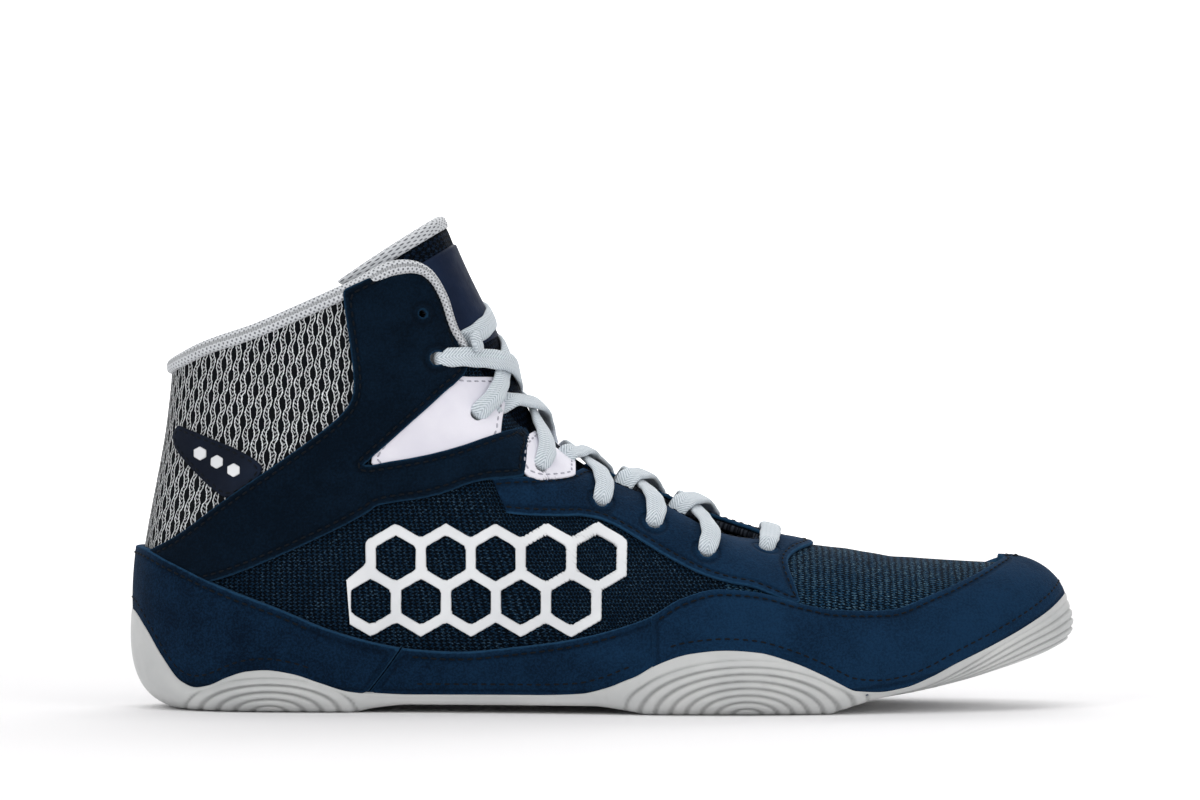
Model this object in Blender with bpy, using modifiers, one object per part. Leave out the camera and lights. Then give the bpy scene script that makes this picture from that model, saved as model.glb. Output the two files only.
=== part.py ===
"""Right-foot wrestling shoe, an ankle-high laced sports shoe with a thin wrapped rubber sole.

Metres, +X from heel to toe, +Y towards the medial side, +Z up. The floor is z = 0, and the origin is
the middle of the heel's flat spot. The upper is a loft of ribs: each rib climbs from the feather edge
(where the upper meets the sole) to the top edge or to the ridge over the toes. The ribs stand in a ring
that runs from the toe along the lateral side, round the heel and back along the medial side.
"""

import math

import bmesh
import bpy
import numpy as np
from mathutils import Vector
from mathutils.bvhtree import BVHTree

# Driving sizes
LENGTH = 0.286
BALL_WIDTH = 0.097
INSTEP_HEIGHT = 0.060
SHAFT_HEIGHT = 0.134
TOE_SPRING = 0.0178
WAIST_LIFT = 0.0025
SOLE_THICKNESS = 0.0062
WRAP_HEIGHT = 0.022
SOLE_BULGE = 0.0068
SOLE_TUCK = 0.0085
SOLE_LIP = 0.0014
RIB_DEPTH = 0.0004
RIB_FADE = 0.0015
WALL = 0.0022
OVERLAY = 0.0012
FILM = 0.0009
GAP = 0.0003
SOLE_EASE = 0.0002
BINDING_EASE = 0.0003
INSOLE_THICKNESS = 0.0032
INSOLE_INSET = 0.0032
TONGUE_THICKNESS = 0.0036
BINDING_HEIGHT = 0.0038
BINDING_THICKNESS = 0.0010
LACE_WIDTH = 0.0058
LACE_THICKNESS = 0.0020
LACE_CLEARANCE = 0.0006
LACE_MARGIN = 0.0015
LACE_STEPS = 10
LACE_SAMPLES = 5
LACE_STEEPEST = 2.2
CROSSINGS = 5
EYELET_RADIUS = 0.0020
EYELET_PIN = 0.012
SIDE_REACH = 0.1

HALF_WIDTH = BALL_WIDTH / 2
ORIGIN_SHARE = 0.150
ORIGIN = np.array([ORIGIN_SHARE * LENGTH, 0.0, 0.0])

# Heights of the outlines, the tongue and the rand are shares of SHAFT_HEIGHT. The instep lies at this share:
# what is below it follows INSTEP_HEIGHT, and what is above it follows the rest of SHAFT_HEIGHT.
INSTEP_SHARE = 30 / 67

# One row for each rib from the heel (row 0) to the toe (row 21). foot_x and top_x are shares of LENGTH,
# foot and top widths are shares of HALF_WIDTH, out from the heel-to-toe line on either side. height is a
# share of INSTEP_HEIGHT up to 1, and from 1 to 2 it climbs on to SHAFT_HEIGHT. tilt raises the medial
# top and lowers the lateral one, as a share of INSTEP_HEIGHT.
RIB_COLUMNS = ("foot_x", "foot_lateral", "foot_medial",
               "top_x", "height", "tilt", "top_lateral", "top_medial")
RIBS = (
    (0.0245, 0.000, 0.000, 0.045, 1.590, 0.000, 0.000, 0.000),
    (0.0345, 0.255, 0.245, 0.054, 1.615, 0.000, 0.270, 0.260),
    (0.0650, 0.445, 0.425, 0.085, 1.676, 0.000, 0.460, 0.445),
    (0.1190, 0.590, 0.560, 0.132, 1.738, 0.000, 0.600, 0.580),
    (0.2000, 0.650, 0.600, 0.188, 1.830, 0.000, 0.665, 0.640),
    (0.2850, 0.675, 0.575, 0.243, 1.926, 0.000, 0.660, 0.645),
    (0.3550, 0.715, 0.555, 0.280, 1.998, 0.000, 0.615, 0.620),
    (0.4080, 0.760, 0.570, 0.311, 1.985, 0.000, 0.550, 0.560),
    (0.4500, 0.805, 0.610, 0.331, 1.882, 0.000, 0.510, 0.520),
    (0.4900, 0.850, 0.665, 0.345, 1.723, 0.000, 0.490, 0.495),
    (0.5290, 0.895, 0.735, 0.374, 1.570, 0.000, 0.425, 0.430),
    (0.5670, 0.930, 0.805, 0.415, 1.345, 0.000, 0.360, 0.360),
    (0.6080, 0.950, 0.875, 0.475, 1.175, 0.008, 0.300, 0.290),
    (0.6500, 0.950, 0.925, 0.545, 1.060, 0.017, 0.250, 0.240),
    (0.6970, 0.925, 0.940, 0.610, 0.925, 0.033, 0.300, 0.240),
    (0.7390, 0.875, 0.925, 0.654, 0.862, 0.026, 0.190, 0.140),
    (0.7770, 0.810, 0.885, 0.676, 0.850, 0.000, -0.055, 0.055),
    (0.8300, 0.690, 0.800, 0.741, 0.800, 0.000, -0.075, 0.075),
    (0.8850, 0.545, 0.695, 0.811, 0.757, 0.000, -0.095, 0.095),
    (0.9350, 0.345, 0.560, 0.876, 0.735, 0.000, -0.115, 0.115),
    (0.9690, 0.110, 0.385, 0.918, 0.725, 0.000, -0.135, 0.135),
    (0.9820, -0.145, 0.145, 0.933, 0.722, 0.000, -0.145, 0.145),
)
THROAT_ROW = 16
TOE_ROW = len(RIBS) - 1
RING = 2 * TOE_ROW

# How the ribs curve, at a few of their rows. flare pushes the lower handle out (share of HALF_WIDTH) and
# foot lifts it, lean slides it towards the top, neck lowers the upper handle, crown slides it outwards and
# sweep moves it along the shoe (share of LENGTH).
FORM_COLUMNS = ("row", "flare_lateral", "flare_medial", "foot", "lean", "neck", "crown", "sweep")
FORMS = (
    (0, 0.270, 0.270, 0.310, 0.30, 0.36, 0.16, 0.000),
    (2, 0.200, 0.200, 0.300, 0.30, 0.36, 0.20, 0.000),
    (4, 0.150, 0.150, 0.260, 0.30, 0.34, 0.20, 0.000),
    (6, 0.140, 0.176, 0.260, 0.29, 0.31, 0.25, -0.008),
    (7, 0.135, 0.190, 0.260, 0.28, 0.28, 0.28, -0.025),
    (8, 0.133, 0.203, 0.273, 0.25, 0.20, 0.32, -0.060),
    (9, 0.132, 0.217, 0.287, 0.23, 0.15, 0.36, -0.078),
    (10, 0.130, 0.230, 0.300, 0.20, 0.15, 0.40, -0.070),
    (11, 0.130, 0.220, 0.340, 0.15, 0.16, 0.44, -0.035),
    (13, 0.130, 0.200, 0.420, 0.06, 0.12, 0.52, 0.000),
    (16, 0.160, 0.170, 0.520, 0.00, 0.00, 0.62, 0.000),
    (19, 0.170, 0.160, 0.560, 0.00, 0.00, 0.62, 0.000),
    (21, 0.120, 0.120, 0.560, 0.00, 0.00, 0.60, 0.000),
)

# Curves along the shoe, as (share of LENGTH, share of the named size). RAND_TOP has outline heights.
SPRING = ((0.00, 0.0), (0.735, 0.0), (0.755, 0.09), (0.785, 0.235), (0.830, 0.36), (0.875, 0.52),
          (0.920, 0.71), (0.960, 0.88), (0.990, 1.0))
LIFT = ((0.00, 0.0), (0.235, 0.0), (0.262, 0.55), (0.300, 1.0), (0.490, 1.0), (0.525, 0.50),
        (0.552, 0.0), (1.0, 0.0))
THICKNESS = ((0.02, 1.25), (0.065, 1.08), (0.140, 0.97), (0.235, 0.90), (0.262, 0.66), (0.300, 0.42),
             (0.490, 0.42), (0.552, 0.80), (0.665, 0.90), (0.735, 0.88), (0.765, 0.50), (0.800, 0.32),
             (0.840, 0.40), (0.880, 0.56), (0.920, 0.76), (0.950, 0.98), (0.990, 1.28))
WRAP = ((0.0245, 1.00), (0.0345, 0.80), (0.047, 0.44), (0.063, 0.12), (0.077, 0.05), (0.090, 0.085),
        (0.110, 0.21), (0.130, 0.30), (0.150, 0.325), (0.178, 0.275), (0.206, 0.16), (0.235, 0.055),
        (0.260, 0.028), (0.300, 0.022), (0.430, 0.022), (0.480, 0.045), (0.510, 0.13), (0.541, 0.27),
        (0.573, 0.46), (0.605, 0.575), (0.636, 0.61), (0.668, 0.58), (0.700, 0.46), (0.732, 0.28),
        (0.764, 0.085), (0.795, 0.022), (0.815, 0.027), (0.840, 0.075), (0.868, 0.15), (0.905, 0.21),
        (0.940, 0.27), (0.969, 0.33), (0.990, 0.38))
BULGE = ((0.02, 1.10), (0.045, 0.90), (0.075, 0.62), (0.110, 0.80), (0.150, 0.92), (0.200, 0.72),
         (0.245, 0.36), (0.300, 0.27), (0.480, 0.27), (0.530, 0.50), (0.590, 0.92), (0.636, 1.00),
         (0.690, 0.88), (0.745, 0.48), (0.795, 0.25), (0.840, 0.34), (0.900, 0.55), (0.950, 0.70),
         (0.985, 0.74))
TUCK = ((0.02, 0.85), (0.045, 0.62), (0.075, 0.42), (0.110, 0.25), (0.150, 0.18), (0.200, 0.18),
        (0.245, 0.20), (0.300, 0.06), (0.480, 0.06), (0.540, 0.14), (0.636, 0.18), (0.720, 0.16),
        (0.795, 0.05), (0.840, 0.12), (0.900, 0.30), (0.950, 0.50), (0.985, 0.66))
RAND_TOP = ((0.000, 0.364), (0.017, 0.364), (0.050, 0.335), (0.095, 0.290), (0.164, 0.233),
            (0.217, 0.187), (0.270, 0.156), (0.300, 0.145), (0.350, 0.139), (0.414, 0.151),
            (0.477, 0.171), (0.520, 0.194), (0.551, 0.217), (0.583, 0.254), (0.620, 0.272),
            (0.657, 0.265), (0.700, 0.242), (0.742, 0.224), (0.796, 0.222), (0.844, 0.251),
            (0.895, 0.292), (0.921, 0.316), (0.942, 0.330), (1.000, 0.330))

# Curved ribs on the sole's side: a pod's centre and half length (shares of LENGTH), how high its ribs climb
# (share of WRAP_HEIGHT) and how many there are.
POD_COLUMNS = ("centre", "half_length", "climb", "ribs")
PODS = (
    (0.153, 0.088, 0.45, 4),
    (0.652, 0.118, 0.72, 6),
)
MOST_RIBS = 6

# The toe's ribs run up along its side: where the first one starts and how far apart the starts are (shares
# of LENGTH), over what length each climbs, and the share of the side's height that the first one reaches.
TOE_RIBS = 4
TOE_RIB_START = 0.800
TOE_RIB_SHIFT = 0.012
TOE_RIB_RUN = 0.085
TOE_RIB_REACH = 0.86


# Outlines of the overlays in side view, as (share of LENGTH, outline height).
SADDLE = ((0.231, 0.912), (0.243, 0.920), (0.280, 0.958), (0.297, 0.960), (0.306, 0.950), (0.315, 0.913),
          (0.329, 0.828), (0.342, 0.785), (0.410, 0.765), (0.400, 0.742), (0.347, 0.742), (0.251, 0.552),
          (0.328, 0.579), (0.400, 0.627), (0.4195, 0.600), (0.4195, 0.523), (0.371, 0.522),
          (0.328, 0.484), (0.263, 0.466), (0.260, 0.452), (0.199, 0.397), (0.092, 0.302), (0.074, 0.320),
          (0.040, 0.356), (0.060, 0.395), (0.111, 0.483), (0.158, 0.553), (0.206, 0.626), (0.233, 0.676),
          (0.242, 0.718), (0.238, 0.807))
UPPER_TAB = ((0.257, 0.557), (0.348, 0.739), (0.450, 0.739), (0.450, 0.650), (0.404, 0.637), (0.327, 0.583))
LOWER_TAB = ((0.422, 0.617), (0.486, 0.617), (0.486, 0.523), (0.422, 0.523))
EYESTAY = ((0.376, 0.517), (0.489, 0.517), (0.489, 0.620), (0.560, 0.600), (0.760, 0.500), (0.732, 0.362),
           (0.711, 0.361), (0.697, 0.342), (0.694, 0.324), (0.704, 0.277), (0.707, 0.258), (0.690, 0.264),
           (0.658, 0.281), (0.639, 0.286), (0.607, 0.305), (0.575, 0.339), (0.542, 0.381), (0.506, 0.427),
           (0.477, 0.440), (0.462, 0.438), (0.396, 0.445), (0.376, 0.474))
HEEL_PATCH = ((0.049, 0.618), (0.057, 0.640), (0.136, 0.558), (0.139, 0.535), (0.113, 0.502), (0.100, 0.500),
              (0.055, 0.574))

# The eyelets of one side, from the throat's front to the wing, as (share of LENGTH, outline height).
EYELETS = ((0.673, 0.356), (0.609, 0.354), (0.554, 0.416), (0.498, 0.466), (0.434, 0.545), (0.368, 0.665),
           (0.326, 0.791), (0.311, 0.891))

# The honeycomb film between saddle, rand and eyestay: each row's first cell centre (share of LENGTH), its
# outline height and how many cells it has, two neighbours being one pitch apart.
LATTICE_ROWS = ((0.259, 0.250, 5), (0.285, 0.347, 5))
LATTICE_PITCH = LENGTH * 15 / 286
LATTICE_RIB = 0.0030

# Where the rand's lengths meet, as rows from the heel, and how far the collar binding comes forward.
RAND_SEAM_HEEL = 5.9
RAND_SEAM_TOE = 13.4
RAND_SEAM = 0.06
RAND_TOE_CLIMB = 0.985
BINDING_ROWS = 9.5

# Half of the binding's section: how far out from the wall (share of BINDING_THICKNESS) and how far down
# (share of BINDING_HEIGHT).
BINDING_SECTION = ((0.0, -0.09), (0.0, 1.0), (0.9, 1.0), (1.3, 0.5), (1.0, -0.15), (-0.4, -0.42))


def columns(rows, names):
    """The table's columns as arrays, by name."""
    return dict(zip(names, np.array(rows, float).T))


RIB = columns(RIBS, RIB_COLUMNS)
FORM = columns(FORMS, FORM_COLUMNS)


def curve(table, at):
    """A smooth curve through a table of (position, value) pairs, flat beyond its ends."""
    x, y = np.array(table, float).T
    at = np.clip(np.asarray(at, float), x[0], x[-1])
    step = np.diff(x)
    slope = np.diff(y) / step
    tangent = np.zeros(len(x))
    same = slope[:-1] * slope[1:] > 0
    before, after = np.where(same, slope[:-1], 1), np.where(same, slope[1:], 1)
    mean = (step[:-1] + step[1:]) / (step[:-1] / after + step[1:] / before)
    tangent[1:-1] = np.where(same, mean, 0)
    i = np.clip(np.searchsorted(x, at, side="right") - 1, 0, len(x) - 2)
    t = (at - x[i]) / step[i]
    return (y[i] * (1 + 2 * t) * (1 - t) ** 2 + tangent[i] * step[i] * t * (1 - t) ** 2
            + y[i + 1] * t * t * (3 - 2 * t) + tangent[i + 1] * step[i] * t * t * (t - 1))


def through(points, at, closed):
    """Catmull-Rom spline through points one unit apart, read at the positions in at."""
    points = np.asarray(points, float)
    count = len(points)
    at = np.atleast_1d(np.asarray(at, float))
    if closed:
        tangents = (np.roll(points, -1, 0) - np.roll(points, 1, 0)) / 2
        i = np.floor(at).astype(int)
        t = (at - i)[:, None]
        a, b = i % count, (i + 1) % count
    else:
        tangents = np.gradient(points, axis=0)
        i = np.clip(np.floor(at).astype(int), 0, count - 2)
        t = (at - i)[:, None]
        a, b = i, i + 1
    return (points[a] * (1 + 2 * t) * (1 - t) ** 2 + tangents[a] * t * (1 - t) ** 2
            + points[b] * t * t * (3 - 2 * t) + tangents[b] * t * t * (t - 1))


def outline_height(share):
    """Height over the floor of an outline height."""
    low = np.minimum(share, INSTEP_SHARE) / INSTEP_SHARE
    high = np.maximum(share - INSTEP_SHARE, 0) / (1 - INSTEP_SHARE)
    return INSTEP_HEIGHT * low + (SHAFT_HEIGHT - INSTEP_HEIGHT) * high


def bottom_height(x):
    """Height of the sole's underside at x."""
    share = x / LENGTH
    return TOE_SPRING * curve(SPRING, share) + WAIST_LIFT * curve(LIFT, share)


def seat_height(x):
    """Height of the feather edge at x."""
    return bottom_height(x) + SOLE_THICKNESS * curve(THICKNESS, x / LENGTH)


def stacked(rows):
    """Points from three columns of coordinates."""
    return np.stack(rows, axis=-1)


def outwards(ahead, behind):
    """Level unit vectors that point out of the shoe, from points ahead and behind round the ring."""
    along = ahead - behind
    out = stacked([-along[:, 1], along[:, 0], np.zeros(len(along))])
    return out / np.linalg.norm(out, axis=1)[:, None]


def rib_handles():
    """The four Bezier points of each rib in the ring, from the toe along the lateral side and back."""
    rows = np.arange(TOE_ROW + 1)
    form = {name: np.interp(rows, FORM["row"], FORM[name]) for name in FORM_COLUMNS}
    foot_x, top_x = RIB["foot_x"] * LENGTH, RIB["top_x"] * LENGTH
    foot_z = seat_height(foot_x)
    low, high = np.minimum(RIB["height"], 1), np.maximum(RIB["height"] - 1, 0)
    top_z = INSTEP_HEIGHT * low + (SHAFT_HEIGHT - INSTEP_HEIGHT) * high
    feet, tops, flares = {}, {}, {}
    for side, name in ((-1, "lateral"), (1, "medial")):
        feet[name] = stacked([foot_x, side * RIB["foot_" + name] * HALF_WIDTH, foot_z])
        tilt = side * RIB["tilt"] * INSTEP_HEIGHT
        tops[name] = stacked([top_x, side * RIB["top_" + name] * HALF_WIDTH, top_z + tilt])
        flares[name] = form["flare_" + name] * HALF_WIDTH
    ring = [(name, row) for name, row in
            [("lateral", r) for r in range(TOE_ROW, 0, -1)] + [("medial", r) for r in range(TOE_ROW)]]
    foot = np.array([feet[n][r] for n, r in ring])
    top = np.array([tops[n][r] for n, r in ring])
    flare = np.array([flares[n][r] for n, r in ring])
    order = np.array([r for _, r in ring])
    out = outwards(np.roll(foot, -1, 0), np.roll(foot, 1, 0))
    rise = top[:, 2] - foot[:, 2]
    plan = (top - foot) * [1, 1, 0]
    up = np.array([0, 0, 1.0])
    lower = foot + out * flare[:, None] + plan * form["lean"][order][:, None]
    lower = lower + up * (form["foot"][order] * rise)[:, None]
    upper = top - plan * form["crown"][order][:, None] - up * (form["neck"][order] * rise)[:, None]
    upper[:, 0] += form["sweep"][order] * LENGTH
    return foot, lower, upper, top


FOOT, LOWER, UPPER, TOP = rib_handles()


def foot_at(ring):
    """Feather-edge points at positions round the ring."""
    found = through(FOOT, ring, True)
    found[:, 2] = seat_height(found[:, 0])
    return found


def top_at(ring):
    """Top-edge points: the collar and throat edge, or the ridge over the toes."""
    ring = np.atleast_1d(np.asarray(ring, float))
    row = np.abs(ring - TOE_ROW)
    ridge = np.concatenate([TOP[:1], TOP[RING - 1:TOE_ROW + THROAT_ROW - 1:-1]])[::-1]
    edge = TOP[TOE_ROW - THROAT_ROW:TOE_ROW + THROAT_ROW + 1]
    on_ridge = through(ridge, np.clip(row - THROAT_ROW, 0, TOE_ROW - THROAT_ROW), False)
    on_edge = through(edge, np.clip(ring - (TOE_ROW - THROAT_ROW), 0, 2 * THROAT_ROW), False)
    return np.where((row >= THROAT_ROW)[:, None], on_ridge, on_edge)


def last_point(ring, climb):
    """The upper's outer surface at positions round the ring and shares of the way up the rib."""
    ring, climb = np.broadcast_arrays(np.asarray(ring, float), np.asarray(climb, float))
    shape = ring.shape
    ring, v = ring.ravel(), climb.ravel()[:, None]
    a, b, c, d = foot_at(ring), through(LOWER, ring, True), through(UPPER, ring, True), top_at(ring)
    found = a * (1 - v) ** 3 + 3 * b * v * (1 - v) ** 2 + 3 * c * v * v * (1 - v) + d * v ** 3
    return found.reshape(shape + (3,))


def last_normal(ring, climb):
    """Outward unit normals of the upper's surface."""
    ring, climb = np.broadcast_arrays(np.asarray(ring, float), np.asarray(climb, float))
    step = 1e-3
    side = last_point(ring + step, climb) - last_point(ring - step, climb)
    low, high = np.clip(climb - step, 0, 1), np.clip(climb + step, 0, 1)
    rise = last_point(ring, high) - last_point(ring, low)
    normal = np.cross(rise, side)
    return normal / np.linalg.norm(normal, axis=-1)[..., None]


# The facets that every solid on the last follows, so that two solids keep their gap between facets too.
RIB_STEPS = 2
CLIMB_STEPS = 8
RING_AT = np.arange(0, RING, 1 / RIB_STEPS)
CLIMB_AT = np.linspace(0, 1, CLIMB_STEPS + 1)


def on_ridge(ring):
    """Whether the rib ends on the ridge over the toes."""
    return np.abs(np.asarray(ring) - TOE_ROW) >= THROAT_ROW


def facet_grid():
    """Points and normals of the faceted last, with one normal wherever two ribs meet on the ridge."""
    ring, climb = np.meshgrid(RING_AT, CLIMB_AT, indexing="ij")
    points, normals = last_point(ring, climb), last_normal(ring, climb)
    count = len(RING_AT)
    for i in np.flatnonzero(on_ridge(RING_AT)):
        both = normals[i, -1] + normals[-i % count, -1]
        both[1] *= 1.0 if i else 0.0
        normals[i, -1] = normals[-i % count, -1] = both / np.linalg.norm(both)
    return points, normals


GRID_POINTS, GRID_NORMALS = facet_grid()


def on_facets(ring, climb, lift):
    """Points on the faceted last, lifted along its normals."""
    ring, climb = np.broadcast_arrays(np.asarray(ring, float), np.asarray(climb, float))
    a = (ring % RING) * RIB_STEPS
    b = np.clip(climb, 0, 1) * CLIMB_STEPS
    i, j = np.floor(a + 1e-9).astype(int), np.minimum(np.floor(b + 1e-9).astype(int), CLIMB_STEPS - 1)
    s, t = (a - i)[..., None], (b - j)[..., None]
    count = len(RING_AT)
    i, k = i % count, (i + 1) % count

    def mix(grid):
        start, above, beside, far = grid[i, j], grid[i, j + 1], grid[k, j], grid[k, j + 1]
        upper_half = start + (above - start) * t + (far - above) * s
        lower_half = start + (beside - start) * s + (far - beside) * t
        return np.where(t >= s, upper_half, lower_half)

    normal = mix(GRID_NORMALS)
    normal /= np.linalg.norm(normal, axis=-1)[..., None]
    return mix(GRID_POINTS) + normal * np.asarray(lift)[..., None]


def climb_to(ring, height):
    """How far up each rib its facets reach a height."""
    ring = np.atleast_1d(np.asarray(ring, float))
    low, high = np.zeros(len(ring)), np.ones(len(ring))
    for _ in range(30):
        middle = (low + high) / 2
        under = on_facets(ring, middle, 0.0)[:, 2] < height
        low, high = np.where(under, middle, low), np.where(under, high, middle)
    return (low + high) / 2


def rand_top_climb(ring):
    """Where the suede rand ends on each rib."""
    ring = np.atleast_1d(np.asarray(ring, float))
    climb = np.full(len(ring), 0.3)
    for _ in range(12):
        x = on_facets(ring, climb, 0.0)[:, 0]
        climb = climb * 0.3 + climb_to(ring, outline_height(curve(RAND_TOP, x / LENGTH))) * 0.7
    return np.minimum(climb, RAND_TOE_CLIMB)


def wrap_climb(ring, more=0.0):
    """Where the sole's side ends on each rib."""
    foot = foot_at(ring)
    return climb_to(ring, foot[:, 2] + WRAP_HEIGHT * curve(WRAP, foot[:, 0] / LENGTH) + more)


# Objects and materials

def clear_scene():
    for obj in list(bpy.data.objects):
        bpy.data.objects.remove(obj, do_unlink=True)


def collection(name):
    made = bpy.data.collections.new(name)
    bpy.context.scene.collection.children.link(made)
    return made


def material(name, colour, roughness, metallic=0.0):
    made = bpy.data.materials.new(name)
    made.use_nodes = True
    shader = made.node_tree.nodes["Principled BSDF"]
    shader.inputs["Base Color"].default_value = (*colour, 1.0)
    shader.inputs["Roughness"].default_value = roughness
    shader.inputs["Metallic"].default_value = metallic
    return made


def add(name, mesh, finish, parts, root):
    made = bpy.data.objects.new(name, mesh)
    if finish is not None:
        mesh.materials.append(finish)
    mesh.shade_smooth()
    parts.objects.link(made)
    made.parent = root
    return made


def mesh_from(name, points, faces):
    mesh = bpy.data.meshes.new(name)
    mesh.from_pydata([tuple(p) for p in np.asarray(points).reshape(-1, 3)], [], faces)
    clean = bmesh.new()
    clean.from_mesh(mesh)
    bmesh.ops.remove_doubles(clean, verts=clean.verts, dist=1e-6)
    bmesh.ops.dissolve_degenerate(clean, edges=clean.edges, dist=1e-7)
    clean.to_mesh(mesh)
    clean.free()
    return mesh


def outward(mesh):
    clean = bmesh.new()
    clean.from_mesh(mesh)
    bmesh.ops.recalc_face_normals(clean, faces=clean.faces)
    clean.to_mesh(mesh)
    clean.free()


def quads(rows, cols, closed):
    """Faces of a grid of points stored row by row; closed joins the last row to the first."""
    faces = []
    for i in range(rows if closed else rows - 1):
        for j in range(cols - 1):
            a, b = i * cols + j, (i + 1) % rows * cols + j
            faces += [(a, a + 1, b + 1), (a, b + 1, b)]
    return faces


def solid_sheet(name, outer, inner, closed):
    """A closed solid between two grids of points of the same size."""
    rows, cols = outer.shape[:2]
    count = rows * cols
    faces = quads(rows, cols, closed)
    faces += [tuple(count + i for i in reversed(f)) for f in faces]
    last = rows if closed else rows - 1
    for j in (0, cols - 1):
        for i in range(last):
            a, b = i * cols + j, (i + 1) % rows * cols + j
            faces.append((a, b, count + b, count + a) if j == 0 else (b, a, count + a, count + b))
    if not closed:
        for i in (0, rows - 1):
            for j in range(cols - 1):
                a = i * cols + j
                ends = (a + 1, a, count + a, count + a + 1), (a, a + 1, count + a + 1, count + a)
                faces.append(ends[0] if i == 0 else ends[1])
    mesh = mesh_from(name, np.concatenate([outer.reshape(-1, 3), inner.reshape(-1, 3)]), faces)
    outward(mesh)
    return mesh


def facet_climbs(low, high):
    """Climbs from low to high on each rib, with a bend wherever the facets bend."""
    bends = [c for c in CLIMB_AT if low.min() < c < high.max()]
    return np.clip([low] + [c + 0 * low for c in bends] + [high], low, high).T


def strip(name, ring, low, high, lift, thickness):
    """A sheet on the faceted last between two climbs on each rib."""
    climb = facet_climbs(low, high)
    rows = np.repeat(np.asarray(ring)[:, None], climb.shape[1], axis=1)
    return solid_sheet(name, on_facets(rows, climb, lift + thickness), on_facets(rows, climb, lift), False)


def last_faces(first_row, last_row, sides):
    """Faces of the faceted last between two rows, with the two halves joined along the ridge."""
    count, cols = len(RING_AT), CLIMB_STEPS + 1

    def corner(i, j):
        i %= count
        if j == cols - 1 and on_ridge(RING_AT[i]):
            i = min(i, -i % count)
        return i * cols + j

    faces = []
    for i in range(count):
        middle = RING_AT[i] + 0.5 / RIB_STEPS - TOE_ROW
        if not first_row < abs(middle) < last_row or (1 if middle > 0 else -1) not in sides:
            continue
        for j in range(cols - 1):
            a, b, c, d = corner(i, j), corner(i, j + 1), corner(i + 1, j + 1), corner(i + 1, j)
            faces += [(a, b, c), (a, c, d)]
    return faces


def sheet_on_last(name, lift, first_row=0, last_row=TOE_ROW, sides=(-1, 1)):
    """An open sheet of the last's facets, lifted off it, facing out."""
    faces = last_faces(first_row, last_row, sides)
    used = sorted({v for f in faces for v in f})
    index = {v: n for n, v in enumerate(used)}
    points = (GRID_POINTS + GRID_NORMALS * lift).reshape(-1, 3)[used]
    mesh = bpy.data.meshes.new(name)
    mesh.from_pydata([tuple(p) for p in points], [], [tuple(index[v] for v in f) for f in faces])
    outward_sheet(mesh)
    return mesh


# Sub-parts

def build_upper(parts, root, finish):
    """The upper is the lofted last, open at collar, throat and underneath, with its wall inside."""
    upper = add("upper", sheet_on_last("upper", 0.0), finish, parts, root)
    solidify(upper, WALL, -1.0)
    return upper


def solidify(obj, thickness, offset):
    shell = obj.modifiers.new("wall", "SOLIDIFY")
    shell.thickness = thickness
    shell.offset = offset
    shell.use_even_offset = True


def outward_sheet(mesh):
    """Turns an open sheet's faces to the outside of the shoe."""
    clean = bmesh.new()
    clean.from_mesh(mesh)
    bmesh.ops.recalc_face_normals(clean, faces=clean.faces)
    clean.faces.ensure_lookup_table()
    widest = max(clean.faces, key=lambda f: abs(f.calc_center_median().y))
    if widest.normal.y * widest.calc_center_median().y < 0:
        bmesh.ops.reverse_faces(clean, faces=clean.faces)
    clean.to_mesh(mesh)
    clean.free()


SOLE_STEPS = (4, 4, 4, 4, 4, 2, 2, 2, 2, 2, 4, 4, 4, 4, 4, 4, 2, 2, 4, 4, 4)
PLAIN_LEVELS = (1.0, 0.7, 0.35)
BOTTOM_STEPS = 4
SHOULDER = 0.62
HEM = 0.10


def sole_ring():
    """Columns of the sole, closer together at the ribbed pods."""
    half = np.concatenate([row + np.arange(n) / n for row, n in enumerate(SOLE_STEPS)])
    return np.concatenate([TOE_ROW - np.append(half, TOE_ROW)[::-1], TOE_ROW + half[1:]])


def rib_heights(share_x, height):
    """Heights of the rib lines above the underside's edge, highest first: a groove, a crest and so on."""
    lines = np.zeros((len(share_x), 2 * MOST_RIBS))
    for centre, half_length, climb, ribs in PODS:
        for k in range(2 * ribs):
            radius = 1 - k / (2 * ribs)
            span = np.sqrt(np.clip(radius ** 2 - ((share_x - centre) / half_length) ** 2, 0, 1))
            lines[:, k] = np.maximum(lines[:, k], span * climb * WRAP_HEIGHT)
    for k in range(2 * TOE_RIBS):
        run = np.clip((share_x - TOE_RIB_START - TOE_RIB_SHIFT * k / 2) / TOE_RIB_RUN, 0, 1)
        reach = TOE_RIB_REACH * (1 - k / (2 * TOE_RIBS))
        lines[:, k] = np.maximum(lines[:, k], run * run * (3 - 2 * run) * reach * height)
    return np.minimum(lines, 0.92 * height[:, None])


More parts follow.
